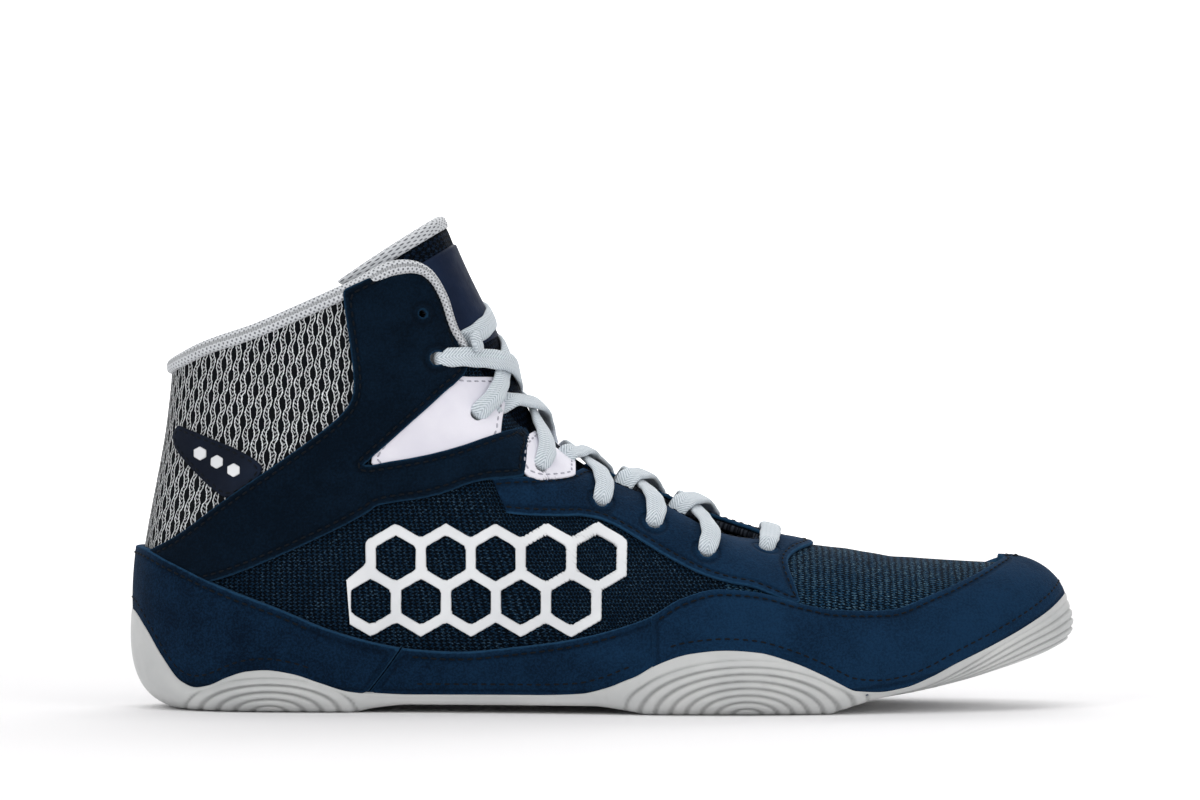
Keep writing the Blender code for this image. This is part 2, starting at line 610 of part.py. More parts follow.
def sole_side(ring):
    """Points of the sole's side, column by column from its top edge down to the edge of the underside."""
    foot = foot_at(ring)
    x = foot[:, 0] / LENGTH
    out = outwards(foot_at(ring + 0.05), foot_at(ring - 0.05))
    top = on_facets(ring, wrap_climb(ring), GAP + SOLE_EASE + SOLE_LIP)
    under = foot - out * (SOLE_TUCK * curve(TUCK, x))[:, None]
    under[:, 2] = bottom_height(foot[:, 0])
    height = top[:, 2] - under[:, 2]
    reach = foot + out * (SOLE_BULGE * curve(BULGE, x))[:, None]
    first, second = reach.copy(), reach.copy()
    first[:, 2] = under[:, 2] + height * SHOULDER
    second[:, 2] = under[:, 2] + height * HEM
    ribs = rib_heights(x, height) / height[:, None]
    plain = ribs[:, :1] + (1 - ribs[:, :1]) * np.array(PLAIN_LEVELS)
    levels = np.concatenate([plain, ribs, np.zeros((len(ring), 1))], axis=1)
    t = np.linspace(1, 0, 101)
    rise = (1 - t) ** 3 + 3 * SHOULDER * t * (1 - t) ** 2 + 3 * HEM * t * t * (1 - t)
    t = np.interp(levels, rise, t)[..., None]
    side = (top[:, None] * (1 - t) ** 3 + 3 * first[:, None] * t * (1 - t) ** 2
            + 3 * second[:, None] * t * t * (1 - t) + under[:, None] * t ** 3)
    wave = np.where(np.arange(2 * MOST_RIBS) % 2, RIB_DEPTH, -RIB_DEPTH)
    depth = wave * np.clip(ribs * height[:, None] / RIB_FADE, 0, 1)
    side[:, len(PLAIN_LEVELS):-1] += out[:, None] * depth[..., None]
    return side, out


def build_sole(parts, root, finish):
    """A thin cup sole: ribbed side, tucked underside, seat and the inner side that holds the upper."""
    ring = sole_ring()
    side, out = sole_side(ring)
    climb = wrap_climb(ring)
    inner = [on_facets(ring, level, GAP + SOLE_EASE) for level in facet_climbs(0.0 * climb, climb).T[:0:-1]]
    seat = on_facets(ring, 0.0 * ring, 0.0) + out * (GAP + SOLE_EASE) - [0, 0, GAP]
    count = len(ring)
    half = count // 2
    across = np.linspace(0, 1, BOTTOM_STEPS + 1)[1:-1]
    rows = np.concatenate([side[:, ::-1].transpose(1, 0, 2), np.array(inner), seat[None]])
    points = [p for row in rows for p in row]
    faces = []
    for j in range(len(rows) - 1):
        for i in range(count):
            k = (i + 1) % count
            faces.append((j * count + i, j * count + k, (j + 1) * count + k, (j + 1) * count + i))

    def close(level, height):
        """Spans the ring at one level with a plate, from lateral to medial rib by rib."""
        start = level * count
        lines = []
        for i in range(half + 1):
            a, b = i, -i % count
            if a == b:
                lines.append([start + a] * (BOTTOM_STEPS + 1))
                continue
            line = [start + a]
            for s in across:
                p = points[start + a] * (1 - s) + points[start + b] * s
                points.append(np.array([p[0], p[1], height(p[0])]))
                line.append(len(points) - 1)
            lines.append(line + [start + b])
        for one, two in zip(lines, lines[1:]):
            for j in range(BOTTOM_STEPS):
                face = list(dict.fromkeys((one[j], two[j], two[j + 1], one[j + 1])))
                if len(face) > 2:
                    faces.append(tuple(face))

    close(0, bottom_height)
    close(len(rows) - 1, lambda x: float(seat_height(x)) - GAP)
    mesh = mesh_from("outsole", points, faces)
    outward(mesh)
    return add("outsole", mesh, finish, parts, root)


def build_insole(parts, root, finish):
    """A flat footbed that lies on the sole inside the upper."""
    ring = RING_AT
    foot = foot_at(ring)
    out = outwards(foot_at(ring + 0.05), foot_at(ring - 0.05))
    edge = foot - out * INSOLE_INSET
    count = len(ring)
    half = count // 2
    lateral, medial = edge[:half + 1], edge[[-i % count for i in range(half + 1)]]
    share = np.array([0, 0.5, 1])[None, :, None]
    line = lateral[:, None] * (1 - share) + medial[:, None] * share
    low = line.copy()
    low[..., 2] = seat_height(line[..., 0])
    high = low + [0, 0, INSOLE_THICKNESS]
    mesh = solid_sheet("insole", high, low, False)
    return add("insole", mesh, finish, parts, root)


# The tongue's middle line from the vamp up to its free end, as share of LENGTH and outline height, with its
# half width there (share of HALF_WIDTH) and how round it is bent (radius as a share of HALF_WIDTH).
TONGUE_COLUMNS = ("x", "z", "half_width", "radius")
TONGUE = (
    (0.735, 0.318, 0.22, 0.80),
    (0.690, 0.334, 0.27, 0.62),
    (0.640, 0.368, 0.36, 0.50),
    (0.592, 0.412, 0.38, 0.41),
    (0.548, 0.462, 0.37, 0.36),
    (0.500, 0.524, 0.40, 0.36),
    (0.460, 0.582, 0.44, 0.39),
    (0.430, 0.648, 0.46, 0.44),
    (0.409, 0.735, 0.46, 0.46),
    (0.384, 0.862, 0.46, 0.47),
    (0.356, 0.985, 0.49, 0.51),
    (0.331, 1.107, 0.51, 0.55),
)
TONGUE_STEPS = 8
TONGUE_ROWS = 17


def tongue_surface(along, across, depth):
    """Points of the tongue: along 0 to 1 from vamp to end, across -1 to 1, depth below its outside."""
    table = columns(TONGUE, TONGUE_COLUMNS)
    count = len(TONGUE) - 1
    at = np.asarray(along, float) * count
    knots = stacked([table["x"] * LENGTH, 0 * table["x"], outline_height(table["z"])])
    line = through(knots, at, False)
    ahead, behind = through(knots, at + 0.02, False), through(knots, at - 0.02, False)
    tangent = ahead - behind
    tangent /= np.linalg.norm(tangent, axis=1)[:, None]
    inward = stacked([-tangent[:, 2], 0 * at, tangent[:, 0]])
    width = through(table["half_width"][:, None], at, False)[:, 0] * HALF_WIDTH
    radius = through(table["radius"][:, None], at, False)[:, 0] * HALF_WIDTH
    turn = (width / radius)[:, None] * np.asarray(across)[None, :]
    reach = radius[:, None] - depth
    y = np.sin(turn) * reach
    back = radius[:, None] - np.cos(turn) * reach
    points = line[:, None] + inward[:, None] * back[..., None]
    points[..., 1] = y
    return points


def build_tongue(parts, root, finish):
    along = np.linspace(0, 1, TONGUE_ROWS)
    across = np.linspace(-1, 1, TONGUE_STEPS + 1)
    outer = tongue_surface(along, across, 0.0)
    inner = tongue_surface(along, across * 0.97, TONGUE_THICKNESS)
    mesh = solid_sheet("tongue", outer, inner, False)
    return add("tongue", mesh, finish, parts, root)


def side_cutter(name, outlines, side, cutters, root):
    """Closed prisms across the shoe with the given side-view outlines, on one side of it or on both."""
    low, high = (-SIDE_REACH, SIDE_REACH) if side == 0 else (0.0, side * SIDE_REACH)
    points, faces = [], []
    for outline in outlines:
        start, count = len(points), len(outline)
        points += [(x, low, z) for x, z in outline] + [(x, high, z) for x, z in outline]
        faces.append(tuple(range(start, start + count)))
        faces.append(tuple(range(start + 2 * count - 1, start + count - 1, -1)))
        for i in range(count):
            k = (i + 1) % count
            faces.append((start + i, start + count + i, start + count + k, start + k))
    mesh = mesh_from(name, points, faces)
    outward(mesh)
    return hide(name, mesh, cutters, root)


def hide(name, mesh, cutters, root):
    cutter = bpy.data.objects.new(name, mesh)
    cutter.hide_render = True
    cutter.display_type = "WIRE"
    cutters.objects.link(cutter)
    cutter.parent = root
    return cutter


def combine(obj, other, operation):
    step = obj.modifiers.new(other.name, "BOOLEAN")
    step.operation = operation
    step.solver = "EXACT"
    step.object = other


def scaled(outline):
    return [(x * LENGTH, float(outline_height(z))) for x, z in outline]


def overlay(name, cutter, finish, rows, sides, thickness, eyelets, parts, root):
    """A layer on the last's facets inside a side-view outline."""
    made = add(name, sheet_on_last(name, GAP, rows[0], rows[1], sides), finish, parts, root)
    solidify(made, thickness, 1.0)
    combine(made, cutter, "INTERSECT")
    if eyelets is not None:
        combine(made, eyelets, "DIFFERENCE")
    return made


def last_tree():
    """The faceted last as a search tree."""
    points = [tuple(p) for p in GRID_POINTS.reshape(-1, 3)]
    return BVHTree.FromPolygons(points, last_faces(0, TOE_ROW, (-1, 1)))


def beside(tree, x, z, side):
    """The point of the last's facets at x and z on one side, and its normal."""
    found, normal, _, _ = tree.ray_cast(Vector((x, side * SIDE_REACH, z)), Vector((0, -side, 0)))
    if normal.y * side < 0:
        normal = -normal
    return found, normal


def eyelet_cutter(tree, cutters, root):
    """Eight-sided pins through the upper at every eyelet."""
    pins = bmesh.new()
    for side in (-1, 1):
        for x, z in scaled(EYELETS):
            at, normal = beside(tree, x, z, side)
            turn = normal.to_track_quat("Z", "Y").to_matrix().to_4x4()
            turn.translation = at
            bmesh.ops.create_cone(pins, cap_ends=True, segments=8, depth=EYELET_PIN,
                                  radius1=EYELET_RADIUS, radius2=EYELET_RADIUS, matrix=turn)
    mesh = bpy.data.meshes.new("eyelet_pins")
    pins.to_mesh(mesh)
    pins.free()
    return hide("eyelet_pins", mesh, cutters, root)


def hexagon(x, z, radius):
    turns = [i * math.pi / 3 for i in range(6)]
    return [(x + radius * math.sin(turn), z + radius * math.cos(turn)) for turn in turns]


def lattice_cells(radius):
    cells = []
    for x, z, count in LATTICE_ROWS:
        cells += [hexagon(x * LENGTH + i * LATTICE_PITCH, outline_height(z), radius) for i in range(count)]
    return cells


def lattice_outline():
    """The outer edge of the two rows of touching cells, as one closed outline."""
    radius = LATTICE_PITCH / math.sqrt(3) + LATTICE_RIB / 2 / math.cos(math.pi / 6)
    (low_x, low_z, low_count), (high_x, high_z, high_count) = LATTICE_ROWS
    outline = []
    wide = radius * math.cos(math.pi / 6)
    lower = [low_x * LENGTH + i * LATTICE_PITCH for i in range(low_count)]
    upper = [high_x * LENGTH + i * LATTICE_PITCH for i in range(high_count)]
    low_z, high_z = outline_height(low_z), outline_height(high_z)
    notch = (LATTICE_PITCH / 2) * math.tan(math.pi / 6)
    for i, x in enumerate(lower):
        outline.append((x, low_z - radius))
        if i < low_count - 1:
            outline.append((x + LATTICE_PITCH / 2, low_z - radius + notch))
    right = lower[-1] + wide
    outline.append((right, low_z - radius / 2))
    outline.append((right, high_z - radius + (right - upper[-1]) * math.tan(math.pi / 6)))
    outline += [(upper[-1] + wide, high_z - radius / 2), (upper[-1] + wide, high_z + radius / 2)]
    for i, x in enumerate(reversed(upper)):
        outline.append((x, high_z + radius))
        if i < high_count - 1:
            outline.append((x - LATTICE_PITCH / 2, high_z + radius - notch))
    left = upper[0] - wide
    outline.append((left, high_z + radius / 2))
    outline.append((left, low_z + radius - (left - lower[0]) * math.tan(math.pi / 6)))
    outline += [(lower[0] - wide, low_z + radius / 2), (lower[0] - wide, low_z - radius / 2)]
    return outline


def ring_between(first, last):
    """Positions round the ring from first to last, at the facets' ribs and twice as close round the heel."""
    fine = [r for r in np.arange(0, 2 * RING, 0.5 / RIB_STEPS) if first + 0.1 < r < last - 0.1]
    inside = [r for r in fine if (r * RIB_STEPS) % 1 == 0 or abs(r - TOE_ROW) < 3]
    return np.array([first] + inside + [last])


def build_rand(parts, root, finish):
    """The suede mudguard above the sole, in four lengths."""
    heel, toe = RAND_SEAM_HEEL, RAND_SEAM_TOE
    lengths = (
        ("rand_heel", TOE_ROW - heel + RAND_SEAM, TOE_ROW + heel - RAND_SEAM),
        ("rand_arch_lateral", TOE_ROW - toe + RAND_SEAM, TOE_ROW - heel - RAND_SEAM),
        ("rand_arch_medial", TOE_ROW + heel + RAND_SEAM, TOE_ROW + toe - RAND_SEAM),
        ("rand_toe", TOE_ROW + toe + RAND_SEAM, RING + TOE_ROW - toe - RAND_SEAM),
    )
    for name, first, last in lengths:
        ring = ring_between(first, last)
        mesh = strip(name, ring, wrap_climb(ring, 2 * GAP), rand_top_climb(ring), GAP, OVERLAY)
        add(name, mesh, finish, parts, root)


def build_binding(parts, root, finish):
    """A knitted tape folded over the collar's edge, from one wing round the heel to the other."""
    ring = ring_between(TOE_ROW - BINDING_ROWS, TOE_ROW + BINDING_ROWS)
    edge = on_facets(ring, 1.0 + 0 * ring, 0.0)
    normal = on_facets(ring, 1.0 + 0 * ring, 0.001) - edge
    normal /= np.linalg.norm(normal, axis=1)[:, None]
    rib = on_facets(ring, 0.95 + 0 * ring, 0.0) - edge
    down = np.cross(normal, np.gradient(edge, axis=0))
    down *= np.sign((down * rib).sum(axis=1))[:, None]
    down /= np.linalg.norm(down, axis=1)[:, None]
    row = np.abs(ring - TOE_ROW)
    near = GAP + BINDING_EASE + 0 * row
    far = -near - WALL
    tall = BINDING_HEIGHT * np.interp(row, (0, 7.5, 8.5), (1.0, 1.0, 0.75))
    section = [(near + out * BINDING_THICKNESS, share) for out, share in BINDING_SECTION]
    section += [(far - out * BINDING_THICKNESS, share) for out, share in reversed(BINDING_SECTION)]
    loops = [edge + normal * n[:, None] + down * (h * tall)[:, None] for n, h in section]
    loop = np.array(loops).transpose(1, 0, 2)
    count = len(section)
    faces = []
    for i in range(len(ring) - 1):
        for j in range(count):
            k = (j + 1) % count
            faces.append((i * count + j, i * count + k, (i + 1) * count + k, (i + 1) * count + j))
    last = (len(ring) - 1) * count
    for start in (0, last):
        for cap in ((0, 1, 2, 3, 4), (0, 4, 5, 6, 7, 11), (11, 7, 8, 9, 10)):
            faces.append(tuple(start + j for j in cap))
    mesh = mesh_from("collar_binding", loop, faces)
    outward(mesh)
    return add("collar_binding", mesh, finish, parts, root)


def surface_trees():
    """Search trees for what the lace lies on: the overlays' outside and the tongue's."""
    lifted = (GRID_POINTS + GRID_NORMALS * (GAP + OVERLAY)).reshape(-1, 3)
    over = BVHTree.FromPolygons([tuple(p) for p in lifted], last_faces(0, TOE_ROW, (-1, 1)))
    along, across = np.linspace(0, 1, TONGUE_ROWS), np.linspace(-1, 1, TONGUE_STEPS + 1)
    tongue = tongue_surface(along, across, 0.0).reshape(-1, 3)
    faces = quads(TONGUE_ROWS, TONGUE_STEPS + 1, False)
    return over, BVHTree.FromPolygons([tuple(p) for p in tongue], faces)


def height_over(tree, at, up):
    """How high a surface stands above a point, along up."""
    found = tree.ray_cast(at + up * SIDE_REACH, -up)[0]
    return (found - at).dot(up) if found is not None else -1.0


def free_length(start, far, across, up, over, tongue):
    """The share of the way from start to far at which the upper's far edge begins to cover the line.

    It is never short of the middle, where the other strand crosses."""
    length = (far - start).length
    shortest = 0.5 + LACE_WIDTH / 2 / length
    for share in np.linspace(0.5, 1, 51):
        at = start.lerp(far, share)
        for shift in (across, -across):
            if height_over(over, at + shift, up) > height_over(tongue, at + shift, up):
                return max(share - LACE_MARGIN / length, shortest)
    return 1.0


def lace_strand(name, start, far, up, trees, whole):
    """A flat cord pulled taut over the surfaces, from start to far or to where the upper covers it."""
    across = (far - start).cross(up).normalized() * (LACE_WIDTH / 2)
    share = 1.0 if whole else free_length(start, far, across, up, *trees)
    steps = LACE_STEPS * LACE_SAMPLES
    line = [start.lerp(far, share * i / steps) for i in range(steps + 1)]
    shifts = np.linspace(-1.05, 1.05, 9)
    under = [[max(height_over(t, at + across * s, up) for t in trees) for s in shifts] for at in line]
    tilts = [(row[-1] - row[0]) / 2 if abs(row[-1] - row[0]) < LACE_WIDTH / 2 else 0.0 for row in under]
    for _ in range(40):
        beside_it = [(tilts[max(i - 1, 0)], tilts[min(i + 1, steps)]) for i in range(steps + 1)]
        tilts = [(low + 2 * here + high) / 4 for here, (low, high) in zip(tilts, beside_it)]
    heights = [max(h - s * tilt for h, s in zip(row, shifts)) for row, tilt in zip(under, tilts)]
    for _ in range(600):
        for i in range(1, steps):
            heights[i] = max(heights[i], (heights[i - 1] + heights[i + 1]) / 2)
    slopes = np.gradient(heights) / ((line[1] - line[0]).length)
    lift = (LACE_CLEARANCE + LACE_THICKNESS / 2) * np.minimum(np.hypot(1, slopes), LACE_STEEPEST)
    middle = [at + up * (h + rise) for at, h, rise in zip(line, heights, lift)][::LACE_SAMPLES]
    tilts = tilts[::LACE_SAMPLES]
    outer, inner = [], []
    for i, (at, tilt) in enumerate(zip(middle, tilts)):
        side = (across + up * tilt).normalized()
        ahead = middle[min(i + 1, LACE_STEPS)] - middle[max(i - 1, 0)]
        rise = ahead.cross(side).normalized() * (LACE_THICKNESS / 2)
        if rise.dot(up) < 0:
            rise = -rise
        flat = side * (LACE_WIDTH / 2)
        outer.append([at + flat + rise, at - flat + rise])
        inner.append([at + flat - rise, at - flat - rise])
    return solid_sheet(name, np.array(outer), np.array(inner), False)


def build_laces(tree, parts, cutters, root, finish):
    """A straight bar at the throat's front and five crossings above it."""
    trees = surface_trees()
    spots = {side: [beside(tree, x, z, side)[0] for x, z in scaled(EYELETS)] for side in (-1, 1)}
    bar = lace_strand("lace_bar", spots[-1][0], spots[1][0], Vector((0.3, 0, 1)).normalized(), trees, True)
    add("lace_bar", bar, finish, parts, root)
    for k in range(1, CROSSINGS + 1):
        climb = spots[-1][k + 1] - spots[-1][k]
        up = Vector((climb.z, 0, -climb.x)).normalized()
        name = "lace_cross_%d" % k
        first = lace_strand(name, spots[-1][k], spots[1][k + 1], up, trees, False)
        second = lace_strand(name + "_second", spots[1][k], spots[-1][k + 1], up, trees, False)
        made = add(name, first, finish, parts, root)
        combine(made, hide(name + "_second", second, cutters, root), "UNION")


def build():
    clear_scene()
    parts = collection("wrestling_shoe")
    cutters = collection("cutters")
    root = bpy.data.objects.new("shoe_frame", None)
    parts.objects.link(root)
    root.location = -Vector(ORIGIN)
    mesh_fabric = material("side_mesh", (0.018, 0.040, 0.075), 0.85)
    rubber = material("sole_rubber", (0.56, 0.57, 0.56), 0.55)
    lining = material("lining_fabric", (0.35, 0.36, 0.38), 0.9)
    padding = material("tongue_fabric", (0.012, 0.022, 0.045), 0.85)
    knit = material("binding_knit", (0.40, 0.42, 0.46), 0.9)
    suede = material("navy_suede", (0.006, 0.020, 0.046), 0.95)
    dark_suede = material("dark_suede", (0.004, 0.011, 0.023), 0.95)
    white = material("white_leather", (0.72, 0.74, 0.78), 0.45)
    film = material("white_film", (0.73, 0.74, 0.76), 0.5)
    cord = material("lace_weave", (0.58, 0.66, 0.73), 0.8)

    tree = last_tree()
    eyelets = eyelet_cutter(tree, cutters, root)
    upper = build_upper(parts, root, mesh_fabric)
    combine(upper, eyelets, "DIFFERENCE")
    build_sole(parts, root, rubber)
    build_insole(parts, root, lining)
    build_tongue(parts, root, padding)
    build_binding(parts, root, knit)
    build_rand(parts, root, suede)

    throat = side_cutter("eyestay_outline", [scaled(EYESTAY)], 0, cutters, root)
    overlay("eyestay", throat, suede, (9, 19), (-1, 1), OVERLAY, eyelets, parts, root)
    cells = lattice_cells(LATTICE_PITCH / math.sqrt(3) - LATTICE_RIB / 2 / math.cos(math.pi / 6))
    for side, name in ((-1, "lateral"), (1, "medial")):
        saddle = side_cutter("saddle_outline_" + name, [scaled(SADDLE)], side, cutters, root)
        overlay("saddle_" + name, saddle, dark_suede, (1, 13), (side,), OVERLAY, eyelets, parts, root)
        upper_tab = side_cutter("upper_tab_outline_" + name, [scaled(UPPER_TAB)], side, cutters, root)
        overlay("upper_tab_" + name, upper_tab, white, (5, 12), (side,), OVERLAY, eyelets, parts, root)
        lower_tab = side_cutter("lower_tab_outline_" + name, [scaled(LOWER_TAB)], side, cutters, root)
        overlay("lower_tab_" + name, lower_tab, white, (8, 14), (side,), OVERLAY, eyelets, parts, root)
        patch = side_cutter("heel_patch_outline_" + name, [scaled(HEEL_PATCH)], side, cutters, root)
        overlay("heel_patch_" + name, patch, dark_suede, (0, 6), (side,), OVERLAY, None, parts, root)
        border = side_cutter("lattice_outline_" + name, [lattice_outline()], side, cutters, root)
        holes = side_cutter("lattice_holes_" + name, cells, side, cutters, root)
        film_piece = overlay("side_lattice_" + name, border, film, (4, 15), (side,), FILM, None, parts, root)
        combine(film_piece, holes, "DIFFERENCE")
    build_laces(tree, parts, cutters, root, cord)


build()
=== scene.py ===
"""Looks of the right-foot wrestling shoe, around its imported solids.

Metres, +X from heel to toe, +Y towards the medial side, +Z up, floor at z = 0. Every layer of the upper is a
sheet on one smooth last, so layers keep their distance from each other and share the same creases. A place
on the last is given as ring (0 at the toe, 21 at the heel, 42 at the toe again, first along the lateral side)
and climb (0 at the feather edge, 1 at the top edge or at the ridge over the toes).
"""

import math

import bmesh
import bpy
import numpy as np
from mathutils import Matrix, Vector
from mathutils.bvhtree import BVHTree
from mathutils.kdtree import KDTree


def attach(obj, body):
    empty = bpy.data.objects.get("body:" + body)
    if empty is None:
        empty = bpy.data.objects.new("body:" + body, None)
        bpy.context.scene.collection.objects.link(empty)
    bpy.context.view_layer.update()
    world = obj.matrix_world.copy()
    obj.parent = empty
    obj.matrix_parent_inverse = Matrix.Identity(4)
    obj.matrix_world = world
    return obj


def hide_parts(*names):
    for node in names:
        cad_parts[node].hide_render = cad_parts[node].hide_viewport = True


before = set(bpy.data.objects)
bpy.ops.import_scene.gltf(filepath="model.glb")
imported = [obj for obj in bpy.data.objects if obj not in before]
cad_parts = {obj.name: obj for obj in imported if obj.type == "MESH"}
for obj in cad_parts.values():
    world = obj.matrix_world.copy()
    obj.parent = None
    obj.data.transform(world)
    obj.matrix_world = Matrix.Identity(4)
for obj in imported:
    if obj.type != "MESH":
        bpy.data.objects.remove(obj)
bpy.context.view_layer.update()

# Driving sizes
LENGTH = 0.286
BALL_WIDTH = 0.097
INSTEP_HEIGHT = 0.060
SHAFT_HEIGHT = 0.134
TOE_SPRING = 0.0178
WAIST_LIFT = 0.0025
SOLE_THICKNESS = 0.0062
WRAP_HEIGHT = 0.022
SOLE_BULGE = 0.0068
SOLE_TUCK = 0.0085
SOLE_LIP = 0.0014
WALL = 0.0022
FILM = 0.0009
GAP = 0.0003
SOLE_EASE = 0.0002
INSOLE_THICKNESS = 0.0032
INSOLE_INSET = 0.0032
TONGUE_THICKNESS = 0.0036
EYELET_RADIUS = 0.0020

HALF_WIDTH = BALL_WIDTH / 2
ORIGIN_SHARE = 0.150
ORIGIN = np.array([ORIGIN_SHARE * LENGTH, 0.0, 0.0])

# Heights of the outlines, the tongue and the rand are shares of SHAFT_HEIGHT. The instep lies at this share:
# what is below it follows INSTEP_HEIGHT, and what is above it follows the rest of SHAFT_HEIGHT.
INSTEP_SHARE = 30 / 67

# One row for each rib from the heel (row 0) to the toe (row 21). foot_x and top_x are shares of LENGTH,
# foot and top widths are shares of HALF_WIDTH, out from the heel-to-toe line on either side. height is a
# share of INSTEP_HEIGHT up to 1, and from 1 to 2 it climbs on to SHAFT_HEIGHT. tilt raises the medial
# top and lowers the lateral one, as a share of INSTEP_HEIGHT.
RIB_COLUMNS = ("foot_x", "foot_lateral", "foot_medial",
               "top_x", "height", "tilt", "top_lateral", "top_medial")
RIBS = (
    (0.0245, 0.000, 0.000, 0.045, 1.590, 0.000, 0.000, 0.000),
    (0.0345, 0.255, 0.245, 0.054, 1.615, 0.000, 0.270, 0.260),
    (0.0650, 0.445, 0.425, 0.085, 1.676, 0.000, 0.460, 0.445),
    (0.1190, 0.590, 0.560, 0.132, 1.738, 0.000, 0.600, 0.580),
    (0.2000, 0.650, 0.600, 0.188, 1.830, 0.000, 0.665, 0.640),
    (0.2850, 0.675, 0.575, 0.243, 1.926, 0.000, 0.660, 0.645),
    (0.3550, 0.715, 0.555, 0.280, 1.998, 0.000, 0.615, 0.620),
    (0.4080, 0.760, 0.570, 0.311, 1.985, 0.000, 0.550, 0.560),
    (0.4500, 0.805, 0.610, 0.331, 1.882, 0.000, 0.510, 0.520),
    (0.4900, 0.850, 0.665, 0.345, 1.723, 0.000, 0.490, 0.495),
    (0.5290, 0.895, 0.735, 0.374, 1.570, 0.000, 0.425, 0.430),
    (0.5670, 0.930, 0.805, 0.415, 1.345, 0.000, 0.360, 0.360),
    (0.6080, 0.950, 0.875, 0.475, 1.175, 0.008, 0.300, 0.290),
    (0.6500, 0.950, 0.925, 0.545, 1.060, 0.017, 0.250, 0.240),
    (0.6970, 0.925, 0.940, 0.610, 0.925, 0.033, 0.300, 0.240),
    (0.7390, 0.875, 0.925, 0.654, 0.862, 0.026, 0.190, 0.140),
    (0.7770, 0.810, 0.885, 0.676, 0.850, 0.000, -0.055, 0.055),
    (0.8300, 0.690, 0.800, 0.741, 0.800, 0.000, -0.075, 0.075),
    (0.8850, 0.545, 0.695, 0.811, 0.757, 0.000, -0.095, 0.095),
    (0.9350, 0.345, 0.560, 0.876, 0.735, 0.000, -0.115, 0.115),
    (0.9690, 0.110, 0.385, 0.918, 0.725, 0.000, -0.135, 0.135),
    (0.9820, -0.145, 0.145, 0.933, 0.722, 0.000, -0.145, 0.145),
)
THROAT_ROW = 16
TOE_ROW = len(RIBS) - 1
RING = 2 * TOE_ROW

# How the ribs curve, at a few of their rows. flare pushes the lower handle out (share of HALF_WIDTH) and
# foot lifts it, lean slides it towards the top, neck lowers the upper handle, crown slides it outwards and
# sweep moves it along the shoe (share of LENGTH).
FORM_COLUMNS = ("row", "flare_lateral", "flare_medial", "foot", "lean", "neck", "crown", "sweep")
FORMS = (
    (0, 0.270, 0.270, 0.310, 0.30, 0.36, 0.16, 0.000),
    (2, 0.200, 0.200, 0.300, 0.30, 0.36, 0.20, 0.000),
    (4, 0.150, 0.150, 0.260, 0.30, 0.34, 0.20, 0.000),
    (6, 0.140, 0.176, 0.260, 0.29, 0.31, 0.25, -0.008),
    (7, 0.135, 0.190, 0.260, 0.28, 0.28, 0.28, -0.025),
    (8, 0.133, 0.203, 0.273, 0.25, 0.20, 0.32, -0.060),
    (9, 0.132, 0.217, 0.287, 0.23, 0.15, 0.36, -0.078),
    (10, 0.130, 0.230, 0.300, 0.20, 0.15, 0.40, -0.070),
    (11, 0.130, 0.220, 0.340, 0.15, 0.16, 0.44, -0.035),
    (13, 0.130, 0.200, 0.420, 0.06, 0.12, 0.52, 0.000),
    (16, 0.160, 0.170, 0.520, 0.00, 0.00, 0.62, 0.000),
    (19, 0.170, 0.160, 0.560, 0.00, 0.00, 0.62, 0.000),
    (21, 0.120, 0.120, 0.560, 0.00, 0.00, 0.60, 0.000),
)

# Curves along the shoe, as (share of LENGTH, share of the named size). RAND_TOP has outline heights.
SPRING = ((0.00, 0.0), (0.735, 0.0), (0.755, 0.09), (0.785, 0.235), (0.830, 0.36), (0.875, 0.52),
          (0.920, 0.71), (0.960, 0.88), (0.990, 1.0))
LIFT = ((0.00, 0.0), (0.235, 0.0), (0.262, 0.55), (0.300, 1.0), (0.490, 1.0), (0.525, 0.50),
        (0.552, 0.0), (1.0, 0.0))
THICKNESS = ((0.02, 1.25), (0.065, 1.08), (0.140, 0.97), (0.235, 0.90), (0.262, 0.66), (0.300, 0.42),
             (0.490, 0.42), (0.552, 0.80), (0.665, 0.90), (0.735, 0.88), (0.765, 0.50), (0.800, 0.32),
             (0.840, 0.40), (0.880, 0.56), (0.920, 0.76), (0.950, 0.98), (0.990, 1.28))
WRAP = ((0.0245, 1.00), (0.0345, 0.80), (0.047, 0.44), (0.063, 0.12), (0.077, 0.05), (0.090, 0.085),
        (0.110, 0.21), (0.130, 0.30), (0.150, 0.325), (0.178, 0.275), (0.206, 0.16), (0.235, 0.055),
        (0.260, 0.028), (0.300, 0.022), (0.430, 0.022), (0.480, 0.045), (0.510, 0.13), (0.541, 0.27),
        (0.573, 0.46), (0.605, 0.575), (0.636, 0.61), (0.668, 0.58), (0.700, 0.46), (0.732, 0.28),
        (0.764, 0.085), (0.795, 0.022), (0.815, 0.027), (0.840, 0.075), (0.868, 0.15), (0.905, 0.21),
        (0.940, 0.27), (0.969, 0.33), (0.990, 0.38))
BULGE = ((0.02, 1.10), (0.045, 0.90), (0.075, 0.62), (0.110, 0.80), (0.150, 0.92), (0.200, 0.72),
         (0.245, 0.36), (0.300, 0.27), (0.480, 0.27), (0.530, 0.50), (0.590, 0.92), (0.636, 1.00),
         (0.690, 0.88), (0.745, 0.48), (0.795, 0.25), (0.840, 0.34), (0.900, 0.55), (0.950, 0.70),
         (0.985, 0.74))
TUCK = ((0.02, 0.85), (0.045, 0.62), (0.075, 0.42), (0.110, 0.25), (0.150, 0.18), (0.200, 0.18),
        (0.245, 0.20), (0.300, 0.06), (0.480, 0.06), (0.540, 0.14), (0.636, 0.18), (0.720, 0.16),
        (0.795, 0.05), (0.840, 0.12), (0.900, 0.30), (0.950, 0.50), (0.985, 0.66))
